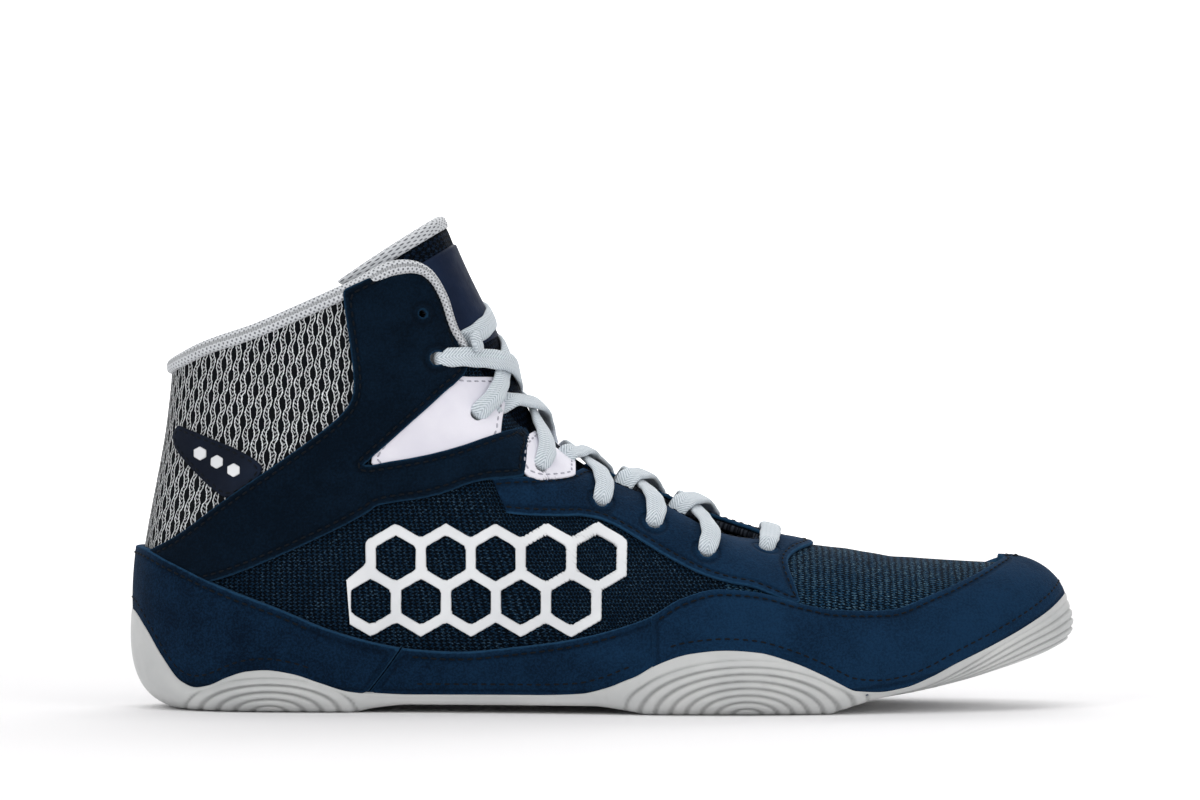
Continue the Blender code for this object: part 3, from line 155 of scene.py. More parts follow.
RAND_TOP = ((0.000, 0.364), (0.017, 0.364), (0.050, 0.335), (0.095, 0.290), (0.164, 0.233),
            (0.217, 0.187), (0.270, 0.156), (0.300, 0.145), (0.350, 0.139), (0.414, 0.151),
            (0.477, 0.171), (0.520, 0.194), (0.551, 0.217), (0.583, 0.254), (0.620, 0.272),
            (0.657, 0.265), (0.700, 0.242), (0.742, 0.224), (0.796, 0.222), (0.844, 0.251),
            (0.895, 0.292), (0.921, 0.316), (0.942, 0.330), (1.000, 0.330))


# Outlines of the layers in side view, as (share of LENGTH, outline height). A point given twice is sharp.
SADDLE = ((0.231, 0.900), (0.226, 1.010), (0.330, 1.010), (0.345, 0.820), (0.356, 0.790),
          (0.356, 0.757), (0.349, 0.742), (0.349, 0.742), (0.251, 0.5535), (0.251, 0.5535), (0.328, 0.579),
          (0.400, 0.629), (0.4175, 0.629), (0.4195, 0.618), (0.4195, 0.532), (0.4150, 0.523), (0.371, 0.522),
          (0.328, 0.484), (0.263, 0.466), (0.260, 0.452), (0.199, 0.385), (0.092, 0.286), (0.060, 0.290),
          (0.020, 0.330), (0.020, 0.350), (0.060, 0.395), (0.111, 0.483), (0.158, 0.553), (0.206, 0.626),
          (0.233, 0.676), (0.242, 0.718), (0.238, 0.807))
UPPER_TAB = ((0.235, 0.535), (0.340, 0.760), (0.3485, 0.7485), (0.3960, 0.7470), (0.4000, 0.7350),
             (0.3990, 0.7150), (0.3935, 0.650), (0.3935, 0.600), (0.327, 0.560))
LOWER_TAB = ((0.412, 0.622), (0.462, 0.622), (0.468, 0.604), (0.4705, 0.535), (0.4705, 0.516), (0.412, 0.516))
EYESTAY = ((0.368, 0.530), (0.489, 0.519), (0.489, 0.620), (0.560, 0.600), (0.760, 0.500), (0.738, 0.372),
           (0.711, 0.361), (0.697, 0.342), (0.694, 0.324), (0.704, 0.277), (0.709, 0.240), (0.690, 0.250),
           (0.658, 0.281), (0.639, 0.286), (0.607, 0.305), (0.575, 0.339), (0.542, 0.381), (0.506, 0.427),
           (0.477, 0.440), (0.462, 0.438), (0.396, 0.445), (0.376, 0.474))
HEEL_PATCH = ((0.049, 0.618), (0.057, 0.640), (0.057, 0.640), (0.150, 0.563), (0.139, 0.515), (0.113, 0.478),
              (0.100, 0.485), (0.055, 0.574))
KNIT_EDGE = ((-0.10, 0.20), (-0.10, 1.30), (0.236, 1.30), (0.246, 0.90), (0.250, 0.72), (0.215, 0.61),
             (0.165, 0.535), (0.115, 0.440), (0.060, 0.340))
VAMP_START = 0.630

# The eyelets of one side, from the throat's front to the wing, as (share of LENGTH, outline height).
EYELETS = ((0.673, 0.356), (0.609, 0.354), (0.554, 0.416), (0.498, 0.466), (0.434, 0.545), (0.368, 0.665),
           (0.326, 0.791), (0.311, 0.891))

# The honeycomb film between saddle, rand and eyestay: each row's first cell centre (share of LENGTH), its
# outline height and how many cells it has, two neighbours being one pitch apart.
LATTICE_ROWS = ((0.259, 0.250, 5), (0.285, 0.347, 5))
LATTICE_PITCH = LENGTH * 15 / 286
LATTICE_RIB = 0.0030

# Where the rand's lengths meet, as rows from the heel, and how far the collar binding comes forward.
RAND_SEAM_HEEL = 4.61
RAND_SEAM_TOE = 10.75
RAND_TOE_CLIMB = 0.985
BINDING_ROWS = 9.5

# The tongue's middle line from the vamp up to its free end, as share of LENGTH and outline height, with its
# half width there (share of HALF_WIDTH) and how round it is bent (radius as a share of HALF_WIDTH).
TONGUE_COLUMNS = ("x", "z", "half_width", "radius")
TONGUE = (
    (0.735, 0.318, 0.22, 0.80),
    (0.690, 0.334, 0.27, 0.62),
    (0.640, 0.368, 0.36, 0.50),
    (0.592, 0.412, 0.38, 0.41),
    (0.548, 0.462, 0.37, 0.36),
    (0.500, 0.524, 0.40, 0.36),
    (0.460, 0.582, 0.44, 0.39),
    (0.430, 0.648, 0.46, 0.44),
    (0.409, 0.735, 0.46, 0.46),
    (0.384, 0.862, 0.46, 0.47),
    (0.356, 0.985, 0.49, 0.51),
    (0.331, 1.107, 0.51, 0.55),
)

# Sizes of the looks
RIDGE_CLIMB = 0.9999
CREASE_BLEND = 0.010
RIM_STEPS = 16
WELD = 2e-6
TURN = 2 * math.pi
EDGE_ROUND = 0.00045
EDGE_SECTION = ((0.55, 0.97), (0.2, 0.86), (0.0, 0.62), (0.0, 0.15))
LEAST_SLOPE = 0.3
LINING_KIND = 3
SIDES = ((-1, "lateral"), (1, "medial"))
STITCH_PITCH = 0.0027
STITCH_LENGTH = 0.0020
THREAD_RADIUS = 0.00027
# A stitch from end to end: share of its length, height and thickness as shares of the thread's radius.
STITCH_FORM = ((-0.5, -1.3, 0.55), (-0.42, -0.5, 0.85), (-0.2, 0.35, 1.0),
               (0.2, 0.35, 1.0), (0.42, -0.5, 0.85), (0.5, -1.3, 0.55))

# Creases: from (x, z) to (x, z) in outline units, the side (-1 lateral, 1 medial, 0 both), half width and
# height in metres. Troughs are negative and ridges positive.
CREASES = (
    (0.700, 0.235, 0.722, 0.370, 0, 0.0040, -0.00060),
    (0.735, 0.225, 0.765, 0.370, 0, 0.0050, 0.00045),
    (0.775, 0.215, 0.815, 0.360, 0, 0.0042, -0.00050),
    (0.290, 0.420, 0.400, 0.470, -1, 0.0045, -0.00050),
    (0.330, 0.360, 0.460, 0.395, -1, 0.0060, 0.00050),
    (0.470, 0.300, 0.560, 0.330, -1, 0.0050, -0.00040),
    (0.290, 0.420, 0.400, 0.470, 1, 0.0045, -0.00050),
    (0.330, 0.360, 0.460, 0.395, 1, 0.0060, 0.00050),
    (0.245, 0.600, 0.330, 0.690, -1, 0.0050, 0.00060),
    (0.245, 0.600, 0.330, 0.690, 1, 0.0050, 0.00060),
    (0.060, 0.560, 0.120, 0.600, -1, 0.0060, -0.00050),
    (0.055, 0.680, 0.180, 0.760, -1, 0.0080, 0.00050),
    (0.055, 0.680, 0.180, 0.760, 1, 0.0080, 0.00050),
    (0.055, 0.420, 0.110, 0.480, 0, 0.0070, 0.00040),
)
LEAST_GRADIENT = 0.5

# Layers: thickness, how far one lies over another, and each row of stitches by its distance from the edge.
SADDLE_THICK = 0.0016
SADDLE_ROW = 0.0020
TAB_THICK = 0.0009
TAB_OVER = 0.0006
TAB_REACH = 0.12
TAB_ROW = 0.0016
PATCH_THICK = 0.0008
PATCH_ROW = 0.0011
FILM_ROUND = 0.0003
EYESTAY_THICK = 0.0011
EYESTAY_ROW = 0.0018
RAND_THICK = 0.0013
RAND_STEP = 0.0006
RAND_OVER = 0.0005
RAND_TUCK = 0.05
RAND_ROW = 0.0022
SEAM_UNDER = 0.35
STRIP_PER_ROW = 16
STRIP_ROWS = 15
STRIP_EDGE = np.array([0.0, 0.003, 0.007, 0.012])

# The sole's side: arcs about each pod (centre and half length as shares of LENGTH, climb as a share of
# WRAP_HEIGHT, how many ribs, and a groove's width as a share of a rib), then the toe's terraces.
PODS = (
    (0.152, 0.092, 0.48, 5, 0.20),
    (0.652, 0.128, 0.76, 8, 0.20),
)
TOE_TERRACES = 5
TOE_RIB_START = 0.795
TOE_RIB_SHIFT = 0.012
TOE_RIB_RUN = 0.140
TOE_RIB_REACH = 0.86
TOE_RIB_POWER = 0.9
TERRACE_STEP = 0.00060
TERRACE_EDGE = 0.00035
RIB_GROOVE = 0.00085
RIB_SAW = 0.00045
RIB_SWELL = 0.00035
SHOULDER = 0.62
HEM = 0.10
SOLE_COLUMNS = 760
SOLE_LEVELS = 66
LIP_MORE = 0.0006
PLATE_STEPS = 44
TREAD_DISCS = ((0.152, 0.027, 0.0042), (0.652, 0.036, 0.0042))
TREAD_SIDE = 0.004
FADE_TOP, FADE_BOTTOM, FADE_TREAD = 0.24, 0.06, 0.05
TREAD_DEPTH = 0.0007
INSOLE_COLUMNS = 240
INSOLE_DISH = 0.0008
INSOLE_CURL = 0.0006
SEAM_SLANT = 0.55
TOE_SLANT = 0.60

TONGUE_AROUND = 64
TONGUE_PUFF = 0.05
TONGUE_PUFFS = 7
TONGUE_BAND = 0.020
TONGUE_METRES = 0.19
TONGUE_HALF = 0.024
TONGUE_CLOTH = 0.022
PATCH_ALONG = (0.80, 0.955)
PATCH_ACROSS = (-0.80, 0.80)
PATCH_LIFT = 0.0007
PATCH_UNDER = 0.0012
BINDING_OUT = 0.0016
BINDING_ON_WING = 5.2
BINDING_AT = (0, 6.2, 7.6, BINDING_ROWS)
BINDING_DOWN = (0.0028, 0.0030, 0.0016, 0.0014)
BINDING_UP = (0.0016, 0.0016, 0.0012, 0.0010)
LACE_WIDTH = 0.0062
LACE_THICKNESS = 0.0019
LACE_CLEARANCE = 0.0002
LACE_TUCK = 0.006
LACE_SAMPLES = 90
LACE_RELAX = 6
LACE_STEP = 0.0005
LACE_AROUND = 20
HOLE_BEND = 0.0042
HOLE_BACK = -0.0005
HOLE_DEPTH = 0.0045
CROSSINGS = 5
WRAP_FROM = 0.78
WRAP_MORE = 0.85
WRAP_STRETCH = 0.16
WRAP_SAG = 0.0055
WRAP_PINCH = 0.06
TOP_STRAND_UP = Vector((0.985, 0.0, 0.172))
UNLACED_SHARE = 0.62
KNIT_PITCH = 0.0033
KNIT_LEAN = 0.10
KNIT_RISE = 0.0066
KNIT_SLOPE = 0.0030
KNIT_RUNG = 0.0012
TAPE_PITCH = 0.00150
LACE_PICK = 0.00105
LACE_END = 0.0013
MARK_SPOTS = ((0.080, 0.578), (0.098, 0.560), (0.116, 0.542))
MARK_RADIUS = 0.0021
MARK_THICK = 0.00035
MARK_ROUND = 0.00015

# The camera, and each light's name, place, target, size and power.
CAMERA_AWAY = 2.6
CAMERA_TILT = 1.4
VIEW_WIDTH = 0.364
VIEW_CENTRE = (0.0997, 0.0, 0.0930)
WORLD_LIGHT = 0.50
LIGHTS = (
    ("overhead", (0.1, -0.1, 1.6), (0.1, 0.0, 0.05), (1.8, 1.4), 9.0),
    ("front_left", (-1.1, -1.5, 0.9), (0.08, 0.0, 0.06), (1.0, 1.0), 8.0),
    ("front_right", (1.3, -1.4, 0.8), (0.12, 0.0, 0.06), (0.9, 0.9), 6.0),
    ("back_rim", (0.3, 1.4, 1.0), (0.1, 0.0, 0.08), (1.2, 0.8), 5.0),
)


def columns(rows, names):
    """The table's columns as arrays, by name."""
    return dict(zip(names, np.array(rows, float).T))


def size(vectors):
    return np.linalg.norm(vectors, axis=-1)


def unit(vectors):
    return vectors / size(vectors)[..., None]


def walked(points):
    """The way gone along a line at each of its points."""
    return np.append(0, np.cumsum(size(np.diff(points, axis=0))))


def at_each(places, known, values):
    """Rows of values read at places between the known ones."""
    return np.stack([np.interp(places, known, column) for column in values.T], 1)


def dome(share, least=0.0):
    """A rounded edge's height, from 0 to 1, at a share of the way in."""
    return np.sqrt(np.maximum(1 - (1 - share) ** 2, least))


def squarish(value, power):
    """A sine or cosine whose circle is pressed towards a rounded bar."""
    return np.sign(value) * np.abs(value) ** power


def relax(values, times):
    """Evens out the values between the first and the last, in place."""
    for _ in range(times):
        values[1:-1] = (values[:-2] + 2 * values[1:-1] + values[2:]) / 4


def hermite(a, b, slope_a, slope_b, t):
    return (a * (1 + 2 * t) * (1 - t) ** 2 + slope_a * t * (1 - t) ** 2
            + b * t * t * (3 - 2 * t) + slope_b * t * t * (t - 1))


def bezier(a, b, c, d, t):
    return a * (1 - t) ** 3 + 3 * b * t * (1 - t) ** 2 + 3 * c * t * t * (1 - t) + d * t ** 3


RIB = columns(RIBS, RIB_COLUMNS)
FORM = columns(FORMS, FORM_COLUMNS)


def curve(table, at):
    """A smooth curve through a table of (position, value) pairs, flat beyond its ends."""
    x, y = np.array(table, float).T
    at = np.clip(np.asarray(at, float), x[0], x[-1])
    step = np.diff(x)
    slope = np.diff(y) / step
    tangent = np.zeros(len(x))
    same = slope[:-1] * slope[1:] > 0
    before, after = np.where(same, slope[:-1], 1), np.where(same, slope[1:], 1)
    mean = (step[:-1] + step[1:]) / (step[:-1] / after + step[1:] / before)
    tangent[1:-1] = np.where(same, mean, 0)
    i = np.clip(np.searchsorted(x, at, side="right") - 1, 0, len(x) - 2)
    t = (at - x[i]) / step[i]
    return hermite(y[i], y[i + 1], tangent[i] * step[i], tangent[i + 1] * step[i], t)


def through(points, at, closed):
    """Catmull-Rom spline through points one unit apart, read at the positions in at."""
    points = np.asarray(points, float)
    count = len(points)
    at = np.atleast_1d(np.asarray(at, float))
    if closed:
        tangents = (np.roll(points, -1, 0) - np.roll(points, 1, 0)) / 2
        i = np.floor(at).astype(int)
    else:
        tangents = np.gradient(points, axis=0)
        i = np.clip(np.floor(at).astype(int), 0, count - 2)
    t = (at - i)[:, None]
    a, b = i % count, (i + 1) % count
    return hermite(points[a], points[b], tangents[a], tangents[b], t)


def outline_height(share):
    """Height over the floor of an outline height."""
    low = np.minimum(share, INSTEP_SHARE) / INSTEP_SHARE
    high = np.maximum(share - INSTEP_SHARE, 0) / (1 - INSTEP_SHARE)
    return INSTEP_HEIGHT * low + (SHAFT_HEIGHT - INSTEP_HEIGHT) * high


def bottom_height(x):
    """Height of the sole's underside at x."""
    share = x / LENGTH
    return TOE_SPRING * curve(SPRING, share) + WAIST_LIFT * curve(LIFT, share)


def seat_height(x):
    """Height of the feather edge at x."""
    return bottom_height(x) + SOLE_THICKNESS * curve(THICKNESS, x / LENGTH)


def stacked(rows):
    """Points from three columns of coordinates."""
    return np.stack(rows, axis=-1)


def outwards(ahead, behind):
    """Level unit vectors that point out of the shoe, from points ahead and behind round the ring."""
    along = ahead - behind
    return unit(stacked([-along[:, 1], along[:, 0], np.zeros(len(along))]))


def rib_handles():
    """The four Bezier points of each rib in the ring, from the toe along the lateral side and back."""
    rows = np.arange(TOE_ROW + 1)
    form = {name: np.interp(rows, FORM["row"], FORM[name]) for name in FORM_COLUMNS}
    foot_x, top_x = RIB["foot_x"] * LENGTH, RIB["top_x"] * LENGTH
    foot_z = seat_height(foot_x)
    low, high = np.minimum(RIB["height"], 1), np.maximum(RIB["height"] - 1, 0)
    top_z = INSTEP_HEIGHT * low + (SHAFT_HEIGHT - INSTEP_HEIGHT) * high
    feet, tops, flares = {}, {}, {}
    for side, name in SIDES:
        feet[name] = stacked([foot_x, side * RIB["foot_" + name] * HALF_WIDTH, foot_z])
        tilt = side * RIB["tilt"] * INSTEP_HEIGHT
        tops[name] = stacked([top_x, side * RIB["top_" + name] * HALF_WIDTH, top_z + tilt])
        flares[name] = form["flare_" + name] * HALF_WIDTH
    ring = [(name, row) for name, row in
            [("lateral", r) for r in range(TOE_ROW, 0, -1)] + [("medial", r) for r in range(TOE_ROW)]]
    foot = np.array([feet[n][r] for n, r in ring])
    top = np.array([tops[n][r] for n, r in ring])
    flare = np.array([flares[n][r] for n, r in ring])
    order = np.array([r for _, r in ring])
    out = outwards(np.roll(foot, -1, 0), np.roll(foot, 1, 0))
    rise = top[:, 2] - foot[:, 2]
    plan = (top - foot) * [1, 1, 0]
    up = np.array([0, 0, 1.0])
    lower = foot + out * flare[:, None] + plan * form["lean"][order][:, None]
    lower = lower + up * (form["foot"][order] * rise)[:, None]
    upper = top - plan * form["crown"][order][:, None] - up * (form["neck"][order] * rise)[:, None]
    upper[:, 0] += form["sweep"][order] * LENGTH
    return foot, lower, upper, top


FOOT, LOWER, UPPER, TOP = rib_handles()


def foot_at(ring):
    """Feather-edge points at positions round the ring."""
    found = through(FOOT, ring, True)
    found[:, 2] = seat_height(found[:, 0])
    return found


def top_at(ring):
    """Top-edge points: the collar and throat edge, or the ridge over the toes."""
    ring = np.atleast_1d(np.asarray(ring, float))
    row = np.abs(ring - TOE_ROW)
    ridge = np.concatenate([TOP[:1], TOP[RING - 1:TOE_ROW + THROAT_ROW - 1:-1]])[::-1]
    edge = TOP[TOE_ROW - THROAT_ROW:TOE_ROW + THROAT_ROW + 1]
    on_ridge = through(ridge, np.clip(row - THROAT_ROW, 0, TOE_ROW - THROAT_ROW), False)
    on_edge = through(edge, np.clip(ring - (TOE_ROW - THROAT_ROW), 0, 2 * THROAT_ROW), False)
    return np.where((row >= THROAT_ROW)[:, None], on_ridge, on_edge)


def last_point(ring, climb):
    """The upper's outer surface at positions round the ring and shares of the way up the rib."""
    ring, climb = np.broadcast_arrays(np.asarray(ring, float), np.asarray(climb, float))
    shape = ring.shape
    ring, v = ring.ravel(), climb.ravel()[:, None]
    a, b, c, d = foot_at(ring), through(LOWER, ring, True), through(UPPER, ring, True), top_at(ring)
    return bezier(a, b, c, d, v).reshape(shape + (3,))


def last_normal(ring, climb):
    """Outward unit normals of the upper's surface."""
    ring, climb = np.broadcast_arrays(np.asarray(ring, float), np.asarray(climb, float))
    step = 1e-3
    side = last_point(ring + step, climb) - last_point(ring - step, climb)
    low, high = np.clip(climb - step, 0, 1 - 2 * step), np.clip(climb + step, 2 * step, 1)
    rise = last_point(ring, high) - last_point(ring, low)
    return unit(np.cross(rise, side))


# The last, finely sampled

def on_ridge(ring):
    """Whether the rib ends on the ridge over the toes."""
    return np.abs(np.asarray(ring) % RING - TOE_ROW) >= THROAT_ROW


def smooth_normal(ring, climb):
    """Outward normals of the last, the same from both sides where two ribs meet on the ridge."""
    ring, climb = np.broadcast_arrays(np.asarray(ring, float) % RING, np.asarray(climb, float))
    normal = last_normal(ring, climb)
    meeting = on_ridge(ring) & (climb > RIDGE_CLIMB)
    if meeting.any():
        other = last_normal(-ring[meeting] % RING, climb[meeting])
        normal[meeting] += other
    return unit(normal)


def crease_depth(points):
    """How far the listed creases move the skin in or out at points of the last."""
    x, y, z = points[..., 0], points[..., 1], points[..., 2]
    depth = np.zeros(x.shape)
    for x1, z1, x2, z2, side, width, height in CREASES:
        start = np.array([x1 * LENGTH, float(outline_height(z1))])
        run = np.array([x2 * LENGTH, float(outline_height(z2))]) - start
        share = np.clip(((x - start[0]) * run[0] + (z - start[1]) * run[1]) / (run @ run), 0, 1)
        away = np.hypot(x - start[0] - share * run[0], z - start[1] - share * run[1]) / width
        fade = np.sin(np.pi * np.clip(share * 0.8 + 0.1, 0, 1))
        near = 1.0 if side == 0 else np.clip(0.5 + side * y / CREASE_BLEND, 0, 1)
        depth += height * fade * near * np.exp(-away * away) * (1 - 0.6 * away * away)
    return depth


def skin(ring, climb, lift):
    """Points lifted off the creased last, in the frame."""
    ring, climb = np.broadcast_arrays(np.asarray(ring, float) % RING, np.asarray(climb, float))
    points = last_point(ring, climb)
    height = np.asarray(lift) + crease_depth(points)
    return points + smooth_normal(ring, climb) * height[..., None] - ORIGIN


def climb_to(ring, height):
    """How far up each rib the last reaches a height."""
    low, high = np.zeros(len(ring)), np.ones(len(ring))
    for _ in range(24):
        middle = (low + high) / 2
        under = last_point(ring % RING, middle)[:, 2] < height
        low, high = np.where(under, middle, low), np.where(under, high, middle)
    return (low + high) / 2


def rim_tables():
    """Where the sole's side and the rand end on each rib, at close positions round the ring."""
    ring = np.arange(0, RING, 1 / RIM_STEPS)
    foot = foot_at(ring)
    wrap = climb_to(ring, foot[:, 2] + WRAP_HEIGHT * curve(WRAP, foot[:, 0] / LENGTH))
    rand = np.full(len(ring), 0.3)
    for _ in range(12):
        x = last_point(ring, rand)[:, 0]
        rand = rand * 0.3 + climb_to(ring, outline_height(curve(RAND_TOP, x / LENGTH))) * 0.7
    return ring, wrap, np.minimum(rand, RAND_TOE_CLIMB)


def wrap_climb(ring):
    return np.interp(np.asarray(ring) % RING, RIM_RING, RIM_WRAP, period=RING)


def rand_climb(ring):
    return np.interp(np.asarray(ring) % RING, RIM_RING, RIM_RAND, period=RING)


# Meshes

def mesh_object(name, points, faces, finish, slot, nodes=(), kinds=None, weld=True, **values):
    """A mesh piece on the body, with the nodes that it replaces and named numbers on its points; slot is not used."""
    mesh = bpy.data.meshes.new(name)
    points = np.asarray(points, float).reshape(-1, 3)
    mesh.from_pydata(points.tolist(), [], [tuple(int(i) for i in f) for f in faces])
    for key, value in values.items():
        value = np.asarray(value, float)
        kind = ("FLOAT", "value") if value.ndim == 1 else ("FLOAT_VECTOR", "vector")
        mesh.attributes.new(key, kind[0], "POINT").data.foreach_set(kind[1], value.ravel())
    for one in finish if isinstance(finish, list) else [finish]:
        mesh.materials.append(one)
    if kinds:
        mesh.polygons.foreach_set("material_index", kinds)
    made = bpy.data.objects.new(name, mesh)
    bpy.context.scene.collection.objects.link(made)
    mesh.shade_smooth()
    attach(made, "root")
    if weld:
        tidy_mesh(made)
    if nodes:
        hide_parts(*nodes)
    return made


def tidy_mesh(obj):
    """Welds points that meet and turns all faces outwards."""
    clean = bmesh.new()
    clean.from_mesh(obj.data)
    bmesh.ops.remove_doubles(clean, verts=clean.verts, dist=WELD)
    bmesh.ops.dissolve_degenerate(clean, edges=clean.edges, dist=WELD / 10)
    bmesh.ops.recalc_face_normals(clean, faces=clean.faces)
    clean.to_mesh(obj.data)
    clean.free()


def grid_faces(rows, cols, close_rows=False, close_cols=False):
    faces = []
    for i in range(rows if close_rows else rows - 1):
        for j in range(cols if close_cols else cols - 1):
            k, m = (i + 1) % rows, (j + 1) % cols
            faces.append((i * cols + j, i * cols + m, k * cols + m, k * cols + j))
    return faces


def closed_grid(outer, inner):
    """Points and faces of a closed body between two grids."""
    rows, cols = outer.shape[:2]
    faces = grid_faces(rows, cols)
    back = [tuple(rows * cols + v for v in reversed(f)) for f in faces]
    border = [(i, 0) for i in range(rows)] + [(rows - 1, j) for j in range(1, cols)]
    border += [(i, cols - 1) for i in range(rows - 2, -1, -1)] + [(0, j) for j in range(cols - 2, 0, -1)]
    border = [i * cols + j for i, j in border]
    sides = [(a, b, rows * cols + b, rows * cols + a) for a, b in zip(border, border[1:] + border[:1])]
    return np.concatenate([outer.reshape(-1, 3), inner.reshape(-1, 3)]), faces + back + sides


def tube(name, points, finish, slot, nodes, s, t, third=0.0):
    """A closed tube through rows of points, whose cloth runs s along it and t round it."""
    rows, cols = points.shape[:2]
    faces = grid_faces(rows, cols, close_cols=True)
    faces += [tuple(range(cols)), tuple((rows - 1) * cols + j for j in range(cols - 1, -1, -1))]
    cloth = stacked(np.broadcast_arrays(s[:, None], t[None], third)).reshape(-1, 3)
    return mesh_object(name, points, faces, finish, slot, nodes, cloth=cloth)


def rounded(outline):
    """An outline with its corners cut back twice, as a knife turns them; a point given twice stays sharp."""
    points = np.asarray(outline, float)
    for _ in range(2):
        ahead = np.roll(points, -1, 0)
        points = np.stack([points * 0.75 + ahead * 0.25, points * 0.25 + ahead * 0.75], 1).reshape(-1, 2)
    return points


def scaled(outline):
    return np.array([(x * LENGTH, float(outline_height(z))) for x, z in outline])


def outline_distance(outline, x, z):
    """Distance from a closed side-view outline, positive inside it."""
    away = np.full(x.shape, np.inf)
    inside = np.zeros(x.shape, bool)
    for (x1, z1), (x2, z2) in zip(outline, np.roll(outline, -1, 0)):
        dx, dz = x2 - x1, z2 - z1
        share = np.clip(((x - x1) * dx + (z - z1) * dz) / max(dx * dx + dz * dz, 1e-18), 0, 1)
        away = np.minimum(away, np.hypot(x - x1 - share * dx, z - z1 - share * dz))
        if abs(dz) > 1e-12:
            inside ^= ((z1 > z) != (z2 > z)) & (x < x1 + (z - z1) * dx / dz)
    return np.where(inside, away, -away)


def clip_grid(values, level):
    """The part of a grid where its values exceed a level: places in it, faces and the edges that were cut."""
    inside = values > level
    index, places, faces, cuts = {}, [], [], []

    def node(corner):
        if corner not in index:
            index[corner] = len(places)
            places.append(corner)
        return index[corner]

    def crossing(a, b):
        a, b = min(a, b), max(a, b)
        if (a, b) not in index:
            share = (level - values[a]) / (values[b] - values[a])
            index[a, b] = len(places)
            places.append((a[0] + (b[0] - a[0]) * share, a[1] + (b[1] - a[1]) * share))
        return index[a, b]

    count = (inside[:-1, :-1].astype(int) + inside[1:, :-1] + inside[:-1, 1:] + inside[1:, 1:])
    for i, j in np.argwhere(count > 0):
        i, j = int(i), int(j)
        square = ((i, j), (i, j + 1), (i + 1, j + 1), (i + 1, j))
        if count[i, j] == 4:
            faces.append(tuple(node(c) for c in square))
            continue
        for triangle in ((square[0], square[1], square[2]), (square[0], square[2], square[3])):
            kept = [bool(inside[c]) for c in triangle]
            if all(kept):
                faces.append(tuple(node(c) for c in triangle))
            elif any(kept):
                odd = kept.index(True) if sum(kept) == 1 else kept.index(False)
                a, b, c = (triangle[(odd + n) % 3] for n in range(3))
                if kept[odd]:
                    cut = (crossing(a, b), crossing(a, c))
                    faces.append((node(a),) + cut)
                else:
                    cut = (crossing(c, a), crossing(a, b))
                    faces.append((cut[1], node(b), node(c), cut[0]))
                if cut[0] != cut[1]:
                    cuts.append(cut)
    return np.array(places, float).reshape(-1, 2), faces, cuts


def bilinear(grid, at):
    """A grid's values at fractional places in it."""
    i = np.clip(np.floor(at[:, 0]).astype(int), 0, grid.shape[0] - 2)
    j = np.clip(np.floor(at[:, 1]).astype(int), 0, grid.shape[1] - 2)
    s, t = at[:, 0] - i, at[:, 1] - j
    if grid.ndim == 3:
        s, t = s[:, None], t[:, None]
    return (grid[i, j] * (1 - s) * (1 - t) + grid[i + 1, j] * s * (1 - t)
            + grid[i, j + 1] * (1 - s) * t + grid[i + 1, j + 1] * s * t)


def edge_distance(points):
    """Distance from the collar and throat edge."""
    return np.array([EDGE_TREE.find(Vector(p))[2] for p in points.reshape(-1, 3)]).reshape(points.shape[:-1])


def hole_distance(points):
    """Distance from the eyelets' rims, positive outside them."""
    away = [size(points - spot) - EYELET_RADIUS * (UNLACED_SHARE if k > CROSSINGS + 1 else 1.0)
            for spots in EYELET_SPOTS.values() for k, spot in enumerate(spots)]
    return np.min(away, axis=0)


class Sheet:
    """A window on the last with the distance from the edges of a piece that lies there."""

    def __init__(self, ring, climb, distance):
        self.ring, self.climb = ring, climb
        rows, cols = np.meshgrid(ring, climb, indexing="ij")
        self.points = last_point(rows % RING, cols)
        self.along, self.up = self.gradient(self.points)
        self.border = None
        self.distance = distance(self)

    def gradient(self, values):
        return np.gradient(values, self.ring, axis=0), np.gradient(values, self.climb, axis=1)

    def side_view(self, outline):
        """Distance over the surface from a side-view outline."""
        away = outline_distance(outline, self.points[..., 0], self.points[..., 2])
        return away / np.clip(steepness(self.along, self.up, *self.gradient(away)), LEAST_SLOPE, 1)

    def places(self, at):
        ring = np.interp(at[:, 0], np.arange(len(self.ring)), self.ring)
        climb = np.interp(at[:, 1], np.arange(len(self.climb)), self.climb)
        return ring, climb

    def outward_step(self, at):
        """How ring and climb change for one metre straight across the edge, outwards."""
        du, dv = (bilinear(change, at) for change in self.gradient(self.distance))
        a, b = bilinear(self.along, at), bilinear(self.up, at)
        aa, ab, bb = (a * a).sum(1), (a * b).sum(1), (b * b).sum(1)
        det = aa * bb - ab * ab
        pu, pv = (bb * du - ab * dv) / det, (aa * dv - ab * du) / det
        length = np.maximum(du * pu + dv * pv, LEAST_GRADIENT)
        return -pu / length, -pv / length


def steepness(along, up, du, dv):
    """Length of a value's gradient over the surface, from its changes along ring and climb."""
    aa, ab, bb = (along * along).sum(-1), (along * up).sum(-1), (up * up).sum(-1)
    det = np.maximum(aa * bb - ab * ab, 1e-18)
    return np.sqrt(np.maximum((bb * du * du - 2 * ab * du * dv + aa * dv * dv) / det, 0))


